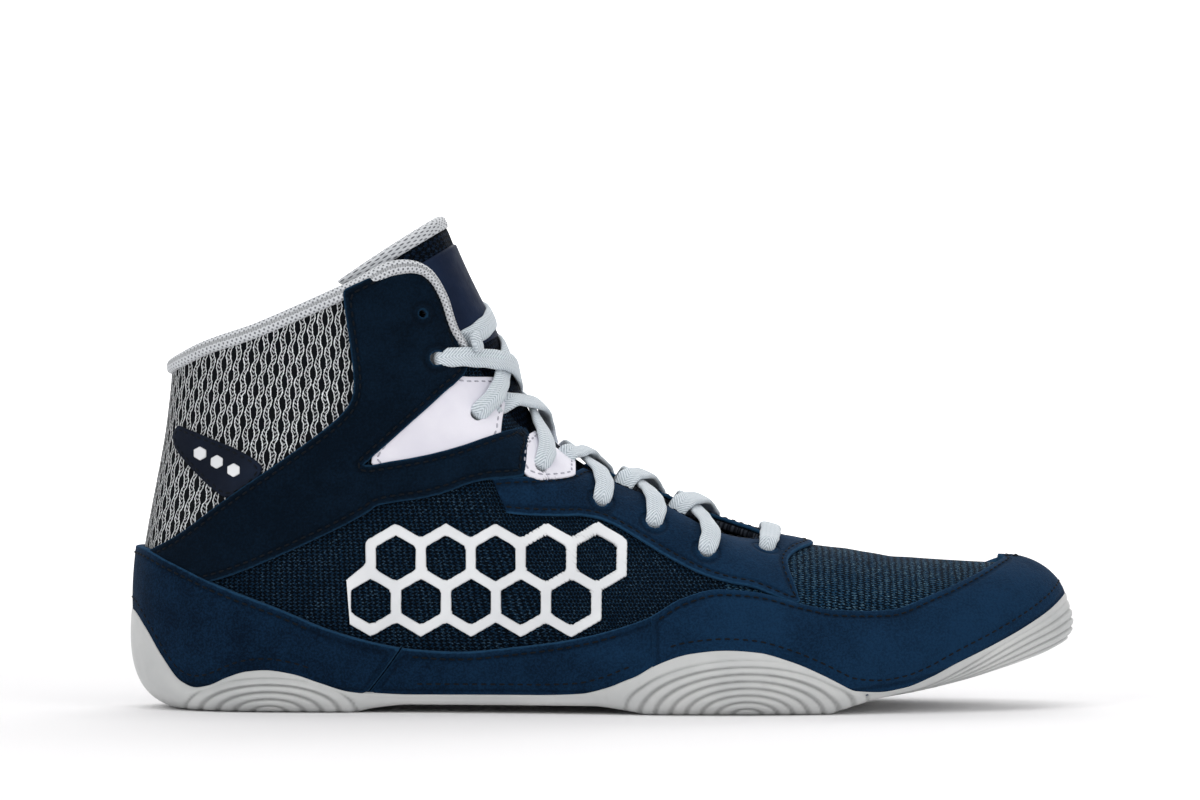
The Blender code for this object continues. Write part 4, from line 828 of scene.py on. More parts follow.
def laid_piece(name, nodes, slot, sheets, low, thick, finish, radius=EDGE_ROUND, region=None):
    """A layer on the last with rounded edges: top and underside, joined by bands along every cut edge.

    low and thick are its underside's lift and its thickness, and region gives the material of a face from
    its middle."""
    points, faces, edge, cloth, kinds = [], [], [], [], []
    total = 0
    for sheet in sheets:
        at, kept, cuts = clip_grid(sheet.distance, radius)
        ring, climb = sheet.places(at)
        inner = bilinear(sheet.distance, at)
        layers = [(ring, climb, low + thick, inner)]
        rim = sorted({v for cut in cuts for v in cut})
        order = {v: n for n, v in enumerate(rim)}
        out_u, out_v = sheet.outward_step(at[rim])
        for share, height in EDGE_SECTION:
            reach = radius * (1 - share)
            layers.append((ring[rim] + out_u * reach, climb[rim] + out_v * reach,
                           low + thick * height, np.full(len(rim), radius * share)))
        layers.append((ring, climb, low, inner))
        starts = [total]
        for r, c, h, e in layers:
            points.append(skin(r, c, h))
            edge.append(e)
            cloth.append(cloth_place(r, c))
            total += len(r)
            starts.append(total)
        faces += [tuple(starts[0] + v for v in f) for f in kept]
        faces += [tuple(starts[-2] + v for v in reversed(f)) for f in kept]
        if region:
            kinds += [region(sheet, at[list(f)].mean(0)) for f in kept] + [LINING_KIND] * len(kept)
        for a, b in cuts:
            line = [(starts[0] + a, starts[0] + b)]
            line += [(start + order[a], start + order[b]) for start in starts[1:-2]]
            line.append((starts[-2] + a, starts[-2] + b))
            for (a1, b1), (a2, b2) in zip(line, line[1:]):
                faces.append((b1, a1, a2, b2))
                kinds += kinds[-1:]
    return mesh_object(name, np.concatenate(points), faces, finish, slot, nodes, kinds,
                       edge=np.concatenate(edge), cloth=np.concatenate(cloth))


def cloth_place(ring, climb):
    """Distances round and up the last, in metres, for weaves that follow it."""
    ring = np.asarray(ring, float)
    points = last_point(ring % RING, climb)
    return np.stack([np.interp(ring, CLOTH_RING, CLOTH_LENGTH), points[:, 2], points[:, 0]], 1)


def contour_lines(sheet, level):
    """The lines on a sheet at one distance from its edges, as lists of ring and climb."""
    at, _, cuts = clip_grid(sheet.border, level)
    after = dict(cuts)
    starts = [a for a in after if a not in set(after.values())]
    lines = []
    for start in starts + list(after):
        if start not in after:
            continue
        line, here = [start], start
        while here in after:
            here = after.pop(here)
            line.append(here)
        lines.append(np.stack(sheet.places(at[line]), 1))
    return lines


def stitch_points(line, lift):
    """A line on the last as points and normals close together."""
    ring, climb = line[:, 0], line[:, 1]
    return skin(ring, climb, lift), smooth_normal(ring, np.clip(climb, 0, 1))


def resampled(points, normals, pitch):
    """Points and normals at an even spacing along a line."""
    keep = np.append(True, size(np.diff(points, axis=0)) > 1e-7)
    points, normals = points[keep], normals[keep]
    along = walked(points)
    count = int(along[-1] / pitch)
    if count < 2:
        return np.zeros((0, 3)), np.zeros((0, 3))
    at = np.linspace(0, along[-1], count + 1)
    return at_each(at, along, points), unit(at_each(at, along, normals))


def stitches(name, lines, finish, slot):
    """Rows of thread that dip into the layer between one stitch and the next, as one mesh."""
    section = [(math.cos(i * TURN / 6), math.sin(i * TURN / 6) * 0.8) for i in range(6)]
    points, faces, total = [], [], 0
    for path, facing in lines:
        spots, normals = resampled(path, facing, STITCH_PITCH)
        for k in range(len(spots) - 1):
            ahead = unit(spots[k + 1] - spots[k])
            up = unit(normals[k] - ahead * (normals[k] @ ahead))
            across = np.cross(ahead, up)
            middle = (spots[k] + spots[k + 1]) / 2
            for share, height, thick in STITCH_FORM:
                centre = middle + ahead * share * STITCH_LENGTH + up * height * THREAD_RADIUS
                points += [centre + (across * c + up * s) * thick * THREAD_RADIUS for c, s in section]
            rings = len(STITCH_FORM)
            faces += [tuple(total + v for v in f) for f in grid_faces(rings, 6, close_cols=True)]
            faces.append(tuple(total + v for v in range(6)))
            faces.append(tuple(total + (rings - 1) * 6 + v for v in range(5, -1, -1)))
            total += rings * 6
    mesh_object(name, points, faces, finish, slot, weld=False)


# Materials

class Wire:
    """A node's output in a material. Arithmetic on it adds Math nodes."""

    def __init__(self, look, socket):
        self.look, self.socket = look, socket

    def math(self, operation, *values):
        return self.look.node("ShaderNodeMath", dict(enumerate((self, *values))), operation=operation)

    def __add__(self, other):
        return self.math("ADD", other)

    def __sub__(self, other):
        return self.math("SUBTRACT", other)

    def __mul__(self, other):
        return self.math("MULTIPLY", other)

    def __truediv__(self, other):
        return self.math("DIVIDE", other)

    def sine(self):
        return self.math("SINE")

    def size(self):
        return self.math("ABSOLUTE")

    def ranged(self, low, high, to_low=0.0, to_high=1.0):
        return self.look.node("ShaderNodeMapRange", {"Value": self, "From Min": low, "From Max": high,
                                                     "To Min": to_low, "To Max": to_high},
                              interpolation_type="SMOOTHSTEP")


class Look:
    """A procedural material. Its calls add a node each and return the node's output."""

    def __init__(self, name, **settings):
        self.material = bpy.data.materials.new(name)
        self.material.use_nodes = True
        self.tree = self.material.node_tree
        self.shader = self.tree.nodes["Principled BSDF"]
        self.plug(self.shader, {key.replace("_", " "): value for key, value in settings.items()})

    def plug(self, node, inputs):
        for key, value in inputs.items():
            target = node.inputs[key]
            if isinstance(value, Wire):
                self.tree.links.new(value.socket, target)
            else:
                target.default_value = (*value, 1.0) if target.type == "RGBA" else value

    def node(self, kind, inputs, output=0, **settings):
        made = self.tree.nodes.new(kind)
        for key, value in settings.items():
            setattr(made, key, value)
        self.plug(made, inputs)
        return Wire(self, made.outputs[output])

    def place(self):
        return self.node("ShaderNodeTexCoord", {}, "Object")

    def value(self, name, output="Fac"):
        return self.node("ShaderNodeAttribute", {}, output, attribute_name=name)

    def cloth(self):
        """The cloth's own coordinates, and the first two of them."""
        cloth = self.value("cloth", "Vector")
        return (cloth, *self.split(cloth)[:2])

    def scaled(self, vector, scale):
        return self.node("ShaderNodeVectorMath", {0: vector, 1: scale}, operation="MULTIPLY")

    def split(self, vector):
        first = self.node("ShaderNodeSeparateXYZ", {0: vector})
        return [Wire(self, output) for output in first.socket.node.outputs]

    def noise(self, vector, scale, detail=2.0, rough=0.5):
        return self.node("ShaderNodeTexNoise", {"Vector": vector, "Scale": scale, "Detail": detail,
                                                "Roughness": rough})

    def mix(self, share, one, other):
        return self.node("ShaderNodeMix", {0: share, 6: one, 7: other}, 2, data_type="RGBA")

    def finish(self, colour, *bumps, **more):
        """Plugs in the colour, then bumps over each other, each as height, distance and strength."""
        for height, distance, strength in bumps:
            inputs = {"Height": height, "Distance": distance, "Strength": strength}
            if "Normal" in more:
                inputs["Normal"] = more["Normal"]
            more["Normal"] = self.node("ShaderNodeBump", inputs)
        self.plug(self.shader, {"Base Color": colour, **more})
        return self.material


def srgb(red, green, blue):
    """Linear colour from 8-bit screen values."""
    return tuple(((v / 255 + 0.055) / 1.055) ** 2.4 if v > 10 else v / 255 / 12.92 for v in (red, green, blue))


def darker(colour, share):
    return tuple(v * share for v in colour)


def suede(name, dark, light, fuzz, row):
    """Brushed suede: blotches where the nap lies either way, a fine grain, pale cut edges, painted light that grows
    towards the toe, and a stitched groove darkened with painted shade.
    """
    look = Look(name, Roughness=0.92, Sheen_Weight=0.10, Sheen_Roughness=0.45, Sheen_Tint=srgb(110, 135, 165),
                Specular_IOR_Level=0.06)
    place, edge = look.place(), look.value("edge")
    blotch = look.noise(place, 45.0, 4.0, 0.62)
    grain = look.noise(place, 1500.0, 3.0, 0.7)
    fibre = look.noise(look.scaled(place, (1.0, 1.0, 3.2)), 520.0, 4.0, 0.7)
    share = blotch.ranged(0.33, 0.68, 0.0, 0.45) + grain.ranged(0.38, 0.62, 0.0, 0.45)
    # Painted light: the suede grows lighter towards the toe, where the forefoot catches more light.
    share += look.split(place)[0].ranged(0.0, 0.17, -0.22, 0.30)
    worn = (edge + (fibre - 0.5) * 0.0009).ranged(0.0, 0.0007, 0.8, 0.0)
    colour = look.mix(worn, look.mix(share, dark, light), fuzz)
    groove = (edge - row).size().ranged(0.0, 0.0011, -1.0, 0.0)
    # Painted shade darkens the stitched groove.
    colour = look.mix(groove.ranged(-1.0, -0.15, 0.35, 0.0), colour, darker(dark, 0.35))
    return look.finish(colour, (grain, 0.00022, 0.9), (fibre, 0.00035, 0.6), (blotch, 0.0016, 0.35),
                       (groove, 0.00045, 0.9))


def mesh_cloth(name, ground, thread, fleck, shine, pitch, over_toes=False):
    """An open knit: staggered rows of short loops with dark holes between them and pale flecks."""
    look = Look(name, Roughness=0.85, Specular_IOR_Level=0.05)
    cloth, s, z = look.cloth()
    if over_toes:
        s, y, z = look.split(look.place())
        z -= y.size()
        cloth = look.node("ShaderNodeCombineXYZ", {0: s, 1: z})
    wobble = (look.noise(cloth, 330.0, 3.0, 0.6) - 0.5) * 7.0
    u = s * (TURN / pitch) + wobble
    v = z * (TURN / pitch * 1.35) + wobble * 0.7
    raised = ((u + v.sine() * 0.9).sine() * (v + u.sine() * 0.8).sine()).ranged(-0.50, 0.60)
    strand = look.noise(look.scaled(cloth, (1.0, 3.0, 1.0)), 900.0, 3.0, 0.75)
    bright = strand.ranged(0.50, 0.64) * raised.ranged(0.25, 0.7)
    bright *= look.noise(cloth, 90.0, 3.0, 0.6).ranged(0.3, 0.6, 0.35, 1.0)
    colour = look.mix(bright * shine, look.mix(raised, ground, thread), fleck)
    return look.finish(colour, (raised, 0.0006, 0.9), (strand, 0.0002, 0.6))


def wavy_knit():
    """The heel's knit: pale laddered chains that swing apart round staggered lens-shaped black gaps."""
    look = Look("heel_knit", Roughness=0.85, Specular_IOR_Level=0.15)
    cloth, s, z = look.cloth()
    warp = look.noise(cloth, 110.0)
    column = s / KNIT_PITCH + warp * 0.30 + z * (KNIT_LEAN / KNIT_PITCH)
    number = column.math("FLOOR")
    within = column - number - 0.5
    rise = z * (TURN / KNIT_RISE) + (number * (math.pi * 0.93) + warp * 1.5)
    gap = rise.sine().ranged(-0.85, 0.8, 0.10, 0.31)
    away = (within + rise.math("COSINE") * 0.05).size() - gap
    away += (look.noise(cloth, 1500.0, 2.0, 0.6) - 0.5) * 0.22
    edge_line = away.ranged(0.0, 0.03) * away.ranged(0.09, 0.14, 1.0, 0.0)
    ticks = ((z + within.size() * KNIT_SLOPE) * (TURN / KNIT_RUNG)).sine()
    ticks += (look.noise(cloth, 800.0, 2.0, 0.6) - 0.5) * 3.0
    ladder = away.ranged(0.12, 0.17) * ticks.ranged(0.25, 0.7)
    pale = edge_line.math("MAXIMUM", ladder * 0.50)
    pale *= look.noise(cloth, 2600.0, 2.0, 0.7).ranged(0.22, 0.42, 0.65, 1.0)
    return look.finish(look.mix(pale, srgb(3, 6, 11), srgb(244, 247, 249)), (pale, 0.0006, 0.8))


def rib_knit():
    """A grey knit tape: staggered small pits between plump loops, the pits darkened with painted shade."""
    look = Look("grey_rib_knit", Roughness=0.85, Sheen_Weight=0.3, Sheen_Roughness=0.5, Specular_IOR_Level=0.25)
    cloth, s, t = look.cloth()
    jitter = look.noise(cloth, 500.0)
    u = s * (TURN / TAPE_PITCH) + jitter * 1.6
    v = t * (TURN / TAPE_PITCH * 0.8) + jitter * 1.2
    raised = ((u + v).sine() * 0.5 + (u - v).sine() * 0.5).ranged(-0.85, -0.15)
    fuzz = look.noise(cloth, 2400.0, 2.0, 0.6)
    # Painted shade: the pits between the loops are darker.
    colour = look.mix(raised * fuzz.ranged(0.25, 0.5, 0.8, 1.0), srgb(112, 115, 122), srgb(214, 217, 221))
    return look.finish(colour, (raised + fuzz * 0.4, 0.0004, 0.9))


def lace_weave():
    """A flat braid: slanted picks that meet along the lace's middle, with painted shade between the picks."""
    look = Look("lace_weave", Roughness=0.8, Sheen_Weight=0.35, Sheen_Roughness=0.5, Specular_IOR_Level=0.25)
    cloth, s, t = look.cloth()
    u = (s + t.size() * 1.1) * (TURN / LACE_PICK)
    v = t * (TURN / LACE_END)
    raised = (u.sine() * (v.math("COSINE") * 0.35 + 0.65)).ranged(-0.7, 0.4)
    fuzz = look.noise(cloth, 1800.0, 3.0, 0.7)
    # Painted shade: the low parts between the picks are darker.
    colour = look.mix(raised * fuzz.ranged(0.3, 0.55, 0.82, 1.0), srgb(178, 190, 199), srgb(232, 240, 246))
    colour = look.mix(look.noise(cloth, 90.0).ranged(0.35, 0.7, 0.0, 0.25), colour, srgb(208, 220, 229))
    return look.finish(colour, (raised + fuzz * 0.6, 0.0003, 0.8))


def synthetic(name, low, high, roughness, grain, gloss=0.5):
    """Smooth coated sheet with a faint leather grain and softened edges."""
    look = Look(name, Roughness=roughness, Coat_Weight=0.16 * gloss, Coat_Roughness=0.35, Specular_IOR_Level=gloss)
    place = look.place()
    cells = look.node("ShaderNodeTexVoronoi", {"Vector": place, "Scale": grain, "Randomness": 1.0}, "Distance")
    tone = look.noise(place, 60.0, 3.0, 0.5)
    colour = look.mix(tone.ranged(0.3, 0.7), low, high)
    colour = look.mix(look.value("edge").ranged(0.0, 0.0005, 0.30, 0.0), colour, darker(low, 0.55))
    rough = look.noise(place, 300.0).ranged(0.3, 0.7, roughness - 0.05, roughness + 0.08)
    return look.finish(colour, (cells, 0.00008, 0.5), (tone, 0.0010, 0.25), Roughness=rough)


def sole_rubber():
    """Matt pale rubber, a little dusty, with painted shade in the grooves."""
    look = Look("sole_rubber_matt", Roughness=0.55)
    place = look.place()
    tone = look.noise(place, 30.0, 4.0, 0.6)
    dust = look.noise(place, 160.0, 5.0, 0.7)
    colour = look.mix(tone.ranged(0.3, 0.7), srgb(188, 190, 190), srgb(203, 204, 203))
    # Painted shade in the grooves and tread rings, from the groove values.
    colour = look.mix(look.value("groove").ranged(0.05, 1.0) * 0.55, colour, srgb(120, 121, 121))
    colour = look.mix(dust.ranged(0.56, 0.78, 0.0, 0.16), colour, srgb(150, 148, 143))
    return look.finish(colour, (look.noise(place, 1400.0, 2.0, 0.6), 0.00006, 0.6), (tone, 0.0012, 0.2),
                       Roughness=dust.ranged(0.3, 0.7, 0.48, 0.66))


def thread_look(name, colour):
    look = Look(name, Roughness=0.8, Specular_IOR_Level=0.2)
    twist = look.noise(look.place(), 2600.0, 2.0, 0.6)
    return look.finish(look.mix(twist.ranged(0.3, 0.7), darker(colour, 0.6), colour), (twist, 0.0001, 0.8))


DARK_SUEDE = suede("dark_navy_suede", srgb(3, 14, 26), srgb(12, 31, 49), srgb(26, 58, 84), SADDLE_ROW)
SUEDE = suede("navy_suede", srgb(5, 21, 38), srgb(19, 48, 76), srgb(36, 74, 106), RAND_ROW)
SIDE_MESH = mesh_cloth("side_mesh_navy", srgb(2, 7, 14), srgb(11, 35, 56), srgb(78, 108, 130), 0.65, 0.0015)
VAMP_MESH = mesh_cloth("vamp_mesh_blue", srgb(1, 10, 20), srgb(14, 54, 84), srgb(126, 164, 182), 0.8, 0.0020, True)
TONGUE_MESH = mesh_cloth("tongue_mesh_dark", srgb(2, 5, 11), srgb(11, 25, 42), srgb(56, 74, 94), 0.4, 0.0017)
HEEL_KNIT = wavy_knit()
LINING = mesh_cloth("lining_mesh", srgb(26, 30, 38), srgb(66, 72, 82), srgb(110, 114, 122), 0.4, 0.0016)
BINDING_KNIT = rib_knit()
LACE = lace_weave()
WHITE_SYNTHETIC = synthetic("white_synthetic", srgb(226, 224, 235), srgb(236, 234, 243), 0.5, 1500.0)
WHITE_FILM = synthetic("white_film_smooth", srgb(224, 226, 229), srgb(236, 238, 240), 0.42, 900.0)
PATCH_FILM = synthetic("dark_patch_film", srgb(10, 18, 32), srgb(18, 29, 47), 0.6, 900.0, 0.10)
SMOOTH_NAVY = synthetic("smooth_navy_panel", srgb(14, 26, 48), srgb(20, 35, 60), 0.65, 1400.0, 0.10)
RUBBER = sole_rubber()
NAVY_THREAD = thread_look("navy_thread", srgb(5, 14, 24))
WHITE_THREAD = thread_look("white_thread", srgb(188, 188, 200))

RIM_RING, RIM_WRAP, RIM_RAND = rim_tables()
CLOTH_RING = np.arange(-RING, 2 * RING + 1, 0.25)
CLOTH_LENGTH = walked(last_point(CLOTH_RING % RING, 0.5))

EDGE_RING = np.linspace(TOE_ROW - THROAT_ROW, TOE_ROW + THROAT_ROW, 1200)
EDGE_POINTS = last_point(EDGE_RING, 1.0)
EDGE_TREE = KDTree(len(EDGE_POINTS))
for number, spot in enumerate(EDGE_POINTS):
    EDGE_TREE.insert(Vector(spot), number)
EDGE_TREE.balance()


def side_tree():
    """The smooth last as a search tree."""
    ring, climb = np.arange(0, RING, 0.25), np.linspace(0, 1, 49)
    rows, cols = np.meshgrid(ring, climb, indexing="ij")
    points = last_point(rows, cols).reshape(-1, 3)
    faces = grid_faces(len(ring), len(climb), close_rows=True)
    return BVHTree.FromPolygons([tuple(p) for p in points], faces)


def beside(x, z, side):
    """The point of the last at x and z on one side."""
    found = LAST_TREE.ray_cast(Vector((x, side * BALL_WIDTH, z)), Vector((0, -side, 0)))[0]
    return np.array(found)


LAST_TREE = side_tree()
EYELET_SPOTS = {side: [beside(x, z, side) for x, z in scaled(EYELETS)] for side in (-1, 1)}


def rows_window(first, last, side, per_row=12):
    """Ring positions from one row to another on one side, evenly close."""
    rows = np.linspace(first, last, int(round((last - first) * per_row)) + 1)
    return TOE_ROW + side * rows if side > 0 else (TOE_ROW - rows)[::-1]


def overlay_sheet(outline, rows, climbs, side, throat=True):
    """A sheet with a side-view outline on one side of the shoe, cut out at the eyelets."""
    climb = np.linspace(*climbs, int((climbs[1] - climbs[0]) * 96) + 1)

    def distance(sheet):
        away = sheet.side_view(outline)
        if throat:
            away = np.minimum(away, edge_distance(sheet.points))
        sheet.border = away
        return np.minimum(away, hole_distance(sheet.points))

    return Sheet(rows_window(*rows, side), climb, distance)


# The upper

def foot_distance(sheet):
    """Distance up from the feather edge."""
    steps = size(np.diff(sheet.points, axis=1))
    return np.concatenate([np.zeros((len(sheet.ring), 1)), np.cumsum(steps, 1)], 1)


def upper_distance(sheet):
    away = np.minimum(edge_distance(sheet.points), foot_distance(sheet))
    return np.minimum(away, hole_distance(sheet.points))


def upper_region(sheet, at):
    """Which cloth a face of the upper is: side mesh, vamp mesh or heel knit."""
    x, _, z = bilinear(sheet.points, at[None])[0]
    if outline_distance(scaled(KNIT_EDGE), np.array([x]), np.array([z]))[0] > 0:
        return 2
    return 1 if x > VAMP_START * LENGTH else 0


def build_upper():
    sheets = [Sheet(rows_window(0, TOE_ROW, side), np.linspace(0, 1, 85), upper_distance) for side in (-1, 1)]
    laid_piece("upper_shell", ["upper"], "side_mesh", sheets, -WALL, WALL,
               [SIDE_MESH, VAMP_MESH, HEEL_KNIT, LINING], region=upper_region)


def build_overlay(name, nodes, slot, sheets, low, thick, finish, row, thread):
    """A cut layer with its row of stitches."""
    laid_piece(name, nodes, slot, sheets, low, thick, finish)
    for sheet in sheets:
        thread += [stitch_points(line, low + thick) for line in contour_lines(sheet, row)]


def build_layers():
    """The layers over the upper. Returns the lines of the dark and of the white stitches."""
    dark, white = [], []
    layers = (
        ("saddle", "saddle_suede", SADDLE, (0.2, 12.5), (0.02, 1.0), True,
         GAP, SADDLE_THICK, DARK_SUEDE, SADDLE_ROW, dark),
        ("upper_tab", "white_leather", UPPER_TAB, (5, 11.5), (0.3, 1.0 + TAB_REACH), False,
         GAP, TAB_THICK, WHITE_SYNTHETIC, TAB_ROW, white),
        ("lower_tab", "white_leather", LOWER_TAB, (9, 13.5), (0.3, 1.0 + TAB_REACH), False,
         GAP + TAB_OVER, TAB_THICK, WHITE_SYNTHETIC, TAB_ROW, white),
        ("heel_patch", "saddle_suede", HEEL_PATCH, (0.1, 5.5), (0.2, 1.0), False,
         GAP, PATCH_THICK, PATCH_FILM, PATCH_ROW, dark),
    )
    for side, name in SIDES:
        for layer, slot, outline, rows, climbs, throat, *rest in layers:
            sheet = overlay_sheet(rounded(scaled(outline)), rows, climbs, side, throat)
            build_overlay(layer + "_cut_" + name, [layer + "_" + name], slot, [sheet], *rest)
        film = overlay_sheet(lattice_outline(), (4.5, 14.5), (0.05, 1.0), side, False)
        x, z = film.points[..., 0], film.points[..., 2]
        for cell in lattice_cells():
            film.distance = np.minimum(film.distance, -outline_distance(np.array(cell), x, z))
        laid_piece("side_lattice_cut_" + name, ["side_lattice_" + name], "white_film", [film],
                   GAP, FILM, WHITE_FILM, radius=FILM_ROUND)
    throat = [overlay_sheet(rounded(scaled(EYESTAY)), (9, 19.5), (0.05, 1.0), side) for side in (-1, 1)]
    build_overlay("eyestay_cut", ["eyestay"], "suede", throat, GAP, EYESTAY_THICK, SUEDE, EYESTAY_ROW, dark)
    return dark, white


def hexagon(x, z, radius):
    turns = [i * math.pi / 3 for i in range(6)]
    return [(x + radius * math.sin(turn), z + radius * math.cos(turn)) for turn in turns]


def lattice_outline():
    """The outer edge of the two rows of touching cells, as one closed outline."""
    radius = LATTICE_PITCH / math.sqrt(3) + LATTICE_RIB / 2 / math.cos(math.pi / 6)
    wide, half, slope = radius * math.cos(math.pi / 6), LATTICE_PITCH / 2, math.tan(math.pi / 6)
    (lower, low_z), (upper, high_z) = (
        ([x * LENGTH + i * LATTICE_PITCH for i in range(count)], outline_height(z)) for x, z, count in LATTICE_ROWS)
    outline = []
    for x in lower:
        outline += [(x, low_z - radius), (x + half, low_z - radius + half * slope)]
    right, left = lower[-1] + wide, upper[0] - wide
    outline[-1] = (right, low_z - radius / 2)
    outline.append((right, high_z - radius + (right - upper[-1]) * slope))
    outline += [(upper[-1] + wide, high_z - radius / 2), (upper[-1] + wide, high_z + radius / 2)]
    for x in reversed(upper):
        outline += [(x, high_z + radius), (x - half, high_z + radius - half * slope)]
    outline[-1] = (left, high_z + radius / 2)
    outline.append((left, low_z + radius - (left - lower[0]) * slope))
    return outline + [(lower[0] - wide, low_z + radius / 2), (lower[0] - wide, low_z - radius / 2)]


def lattice_cells():
    radius = LATTICE_PITCH / math.sqrt(3) - LATTICE_RIB / 2 / math.cos(math.pi / 6)
    return [hexagon(x * LENGTH + i * LATTICE_PITCH, outline_height(z), radius)
            for x, z, count in LATTICE_ROWS for i in range(count)]


# The rand and the sole

def strip_piece(name, first, last, slant_first, slant_last, lift_low, lift_high):
    """A length of the rand from its lower to its upper edge, its ends slanted by so many rows."""
    along = np.linspace(0, 1, int((last - first) * STRIP_PER_ROW) + 1)
    across = np.concatenate([STRIP_EDGE, np.linspace(0.02, 0.98, STRIP_ROWS), 1 - STRIP_EDGE[::-1]])
    s, t = np.meshgrid(along, across, indexing="ij")
    begin, end = first + slant_first * t, last + slant_last * t
    ring = begin + (end - begin) * s
    low, high = rand_low(ring), rand_climb(ring)
    climb = low * (1 - t) + high * t
    from_edge = np.minimum(t, 1 - t) * size(skin(ring, high, 0.0) - skin(ring, low, 0.0))
    way = walked(skin(ring[:, 8], climb[:, 8], 0.0))
    edge = np.minimum(from_edge, np.minimum(way, way[-1] - way)[:, None])
    lift = lift_low * (1 - t) + lift_high * t + RAND_THICK * dome(np.clip(edge / EDGE_ROUND, 0, 1))
    points, faces = closed_grid(skin(ring, climb, lift), skin(ring, climb, GAP))
    mesh_object(name + "_cut", points, faces, SUEDE, "suede", [name], edge=np.tile(edge.ravel(), 2),
                cloth=np.tile(cloth_place(ring.ravel(), climb.ravel()), (2, 1)))


def rand_low(ring):
    return np.maximum(wrap_climb(ring) - RAND_TUCK, 0.0)


def build_rand(dark):
    """The rand's four lengths, with a row of stitches along either edge."""
    heel, toe = RAND_SEAM_HEEL, RAND_SEAM_TOE
    lengths = (
        ("rand_heel", TOE_ROW - heel, TOE_ROW + heel, -SEAM_SLANT, SEAM_SLANT, RAND_OVER),
        ("rand_arch_lateral", TOE_ROW - toe - SEAM_UNDER, TOE_ROW - heel - 0.02, -TOE_SLANT, -SEAM_SLANT, 0),
        ("rand_arch_medial", TOE_ROW + heel + 0.02, TOE_ROW + toe + SEAM_UNDER, SEAM_SLANT, TOE_SLANT, 0),
        ("rand_toe", TOE_ROW + toe, RING + TOE_ROW - toe, TOE_SLANT, -TOE_SLANT, RAND_OVER),
    )
    for name, first, last, slant_first, slant_last, over in lengths:
        strip_piece(name, first, last, slant_first, slant_last, GAP + over, GAP + RAND_STEP + over)
        ring = np.arange(first + abs(slant_first) + 0.1, last - abs(slant_last) - 0.1, 0.05)
        base, low, top = rand_low(ring), wrap_climb(ring), rand_climb(ring)
        for edge, inner, inset in ((top, np.maximum(top - 0.02, 0), -RAND_ROW), (low, low + 0.02, RAND_ROW + SOLE_LIP)):
            climb = edge + inset / (size(skin(ring, edge, 0.0) - skin(ring, inner, 0.0)) / 0.02)
            share = (climb - base) / (top - base) if edge is low else 1.0
            dark.append(stitch_points(stacked([ring, climb]), GAP + RAND_STEP * share + over + RAND_THICK))


def even_ring(count):
    """Ring positions evenly spaced along the feather edge."""
    ring = np.linspace(0, RING, 4001)
    way = walked(foot_at(ring % RING))
    half = np.interp(np.linspace(0, way[2000], count // 2 + 1), way[:2001], ring[:2001])
    return np.concatenate([half, RING - half[-2:0:-1]])


def foot_line(count):
    """Even ring positions, the feather edge there and the way out of the shoe."""
    ring = even_ring(count)
    return ring, foot_at(ring), outwards(foot_at(ring + 0.05), foot_at(ring - 0.05))


def pod_waves(x, z, bottom, height):
    """Depth of the ribs on the sole's side (arcs about each pod, and terraces that climb the toe), and where painted
    shade darkens their grooves.
    """
    depth = np.zeros(x.shape)
    # Painted shade in the grooves, kept apart from the depth.
    groove_shade = np.zeros(x.shape)
    share_x = x / LENGTH
    for centre, half, climb, ribs, band in PODS:
        radius = np.hypot((share_x - centre) / half, (z - bottom) / (climb * WRAP_HEIGHT))
        phase = (1 - radius) * ribs
        shown = np.clip((1 + 0.02 - radius) * 40, 0, 1) * (phase > -0.5)
        groove = np.exp(-((phase - np.round(phase)) / band) ** 2) * (phase > -0.3) * shown
        depth -= RIB_GROOVE * groove
        depth += RIB_SWELL * np.clip(phase, 0, 1) * (phase > 0)
        depth += RIB_SAW * (phase - np.floor(phase)) * (phase > 0) * shown
        groove_shade = np.maximum(groove_shade, groove)
    for k in range(TOE_TERRACES):
        run = np.clip((share_x - TOE_RIB_START - TOE_RIB_SHIFT * k) / TOE_RIB_RUN, 0, 1)
        reach = TOE_RIB_REACH * (1 - k / TOE_TERRACES) ** TOE_RIB_POWER
        line = run * run * (3 - 2 * run) * reach * height
        above = (z - bottom - line) / TERRACE_EDGE
        depth += np.where(run > 0.02, TERRACE_STEP * (1 - 1 / (1 + np.exp(-np.clip(above, -30, 30) * 2))), 0)
        groove = np.exp(-((above - 0.6) ** 2)) * (run > 0.05)
        depth -= RIB_GROOVE * 0.5 * groove
        groove_shade = np.maximum(groove_shade, groove * 0.8)
    return depth, groove_shade


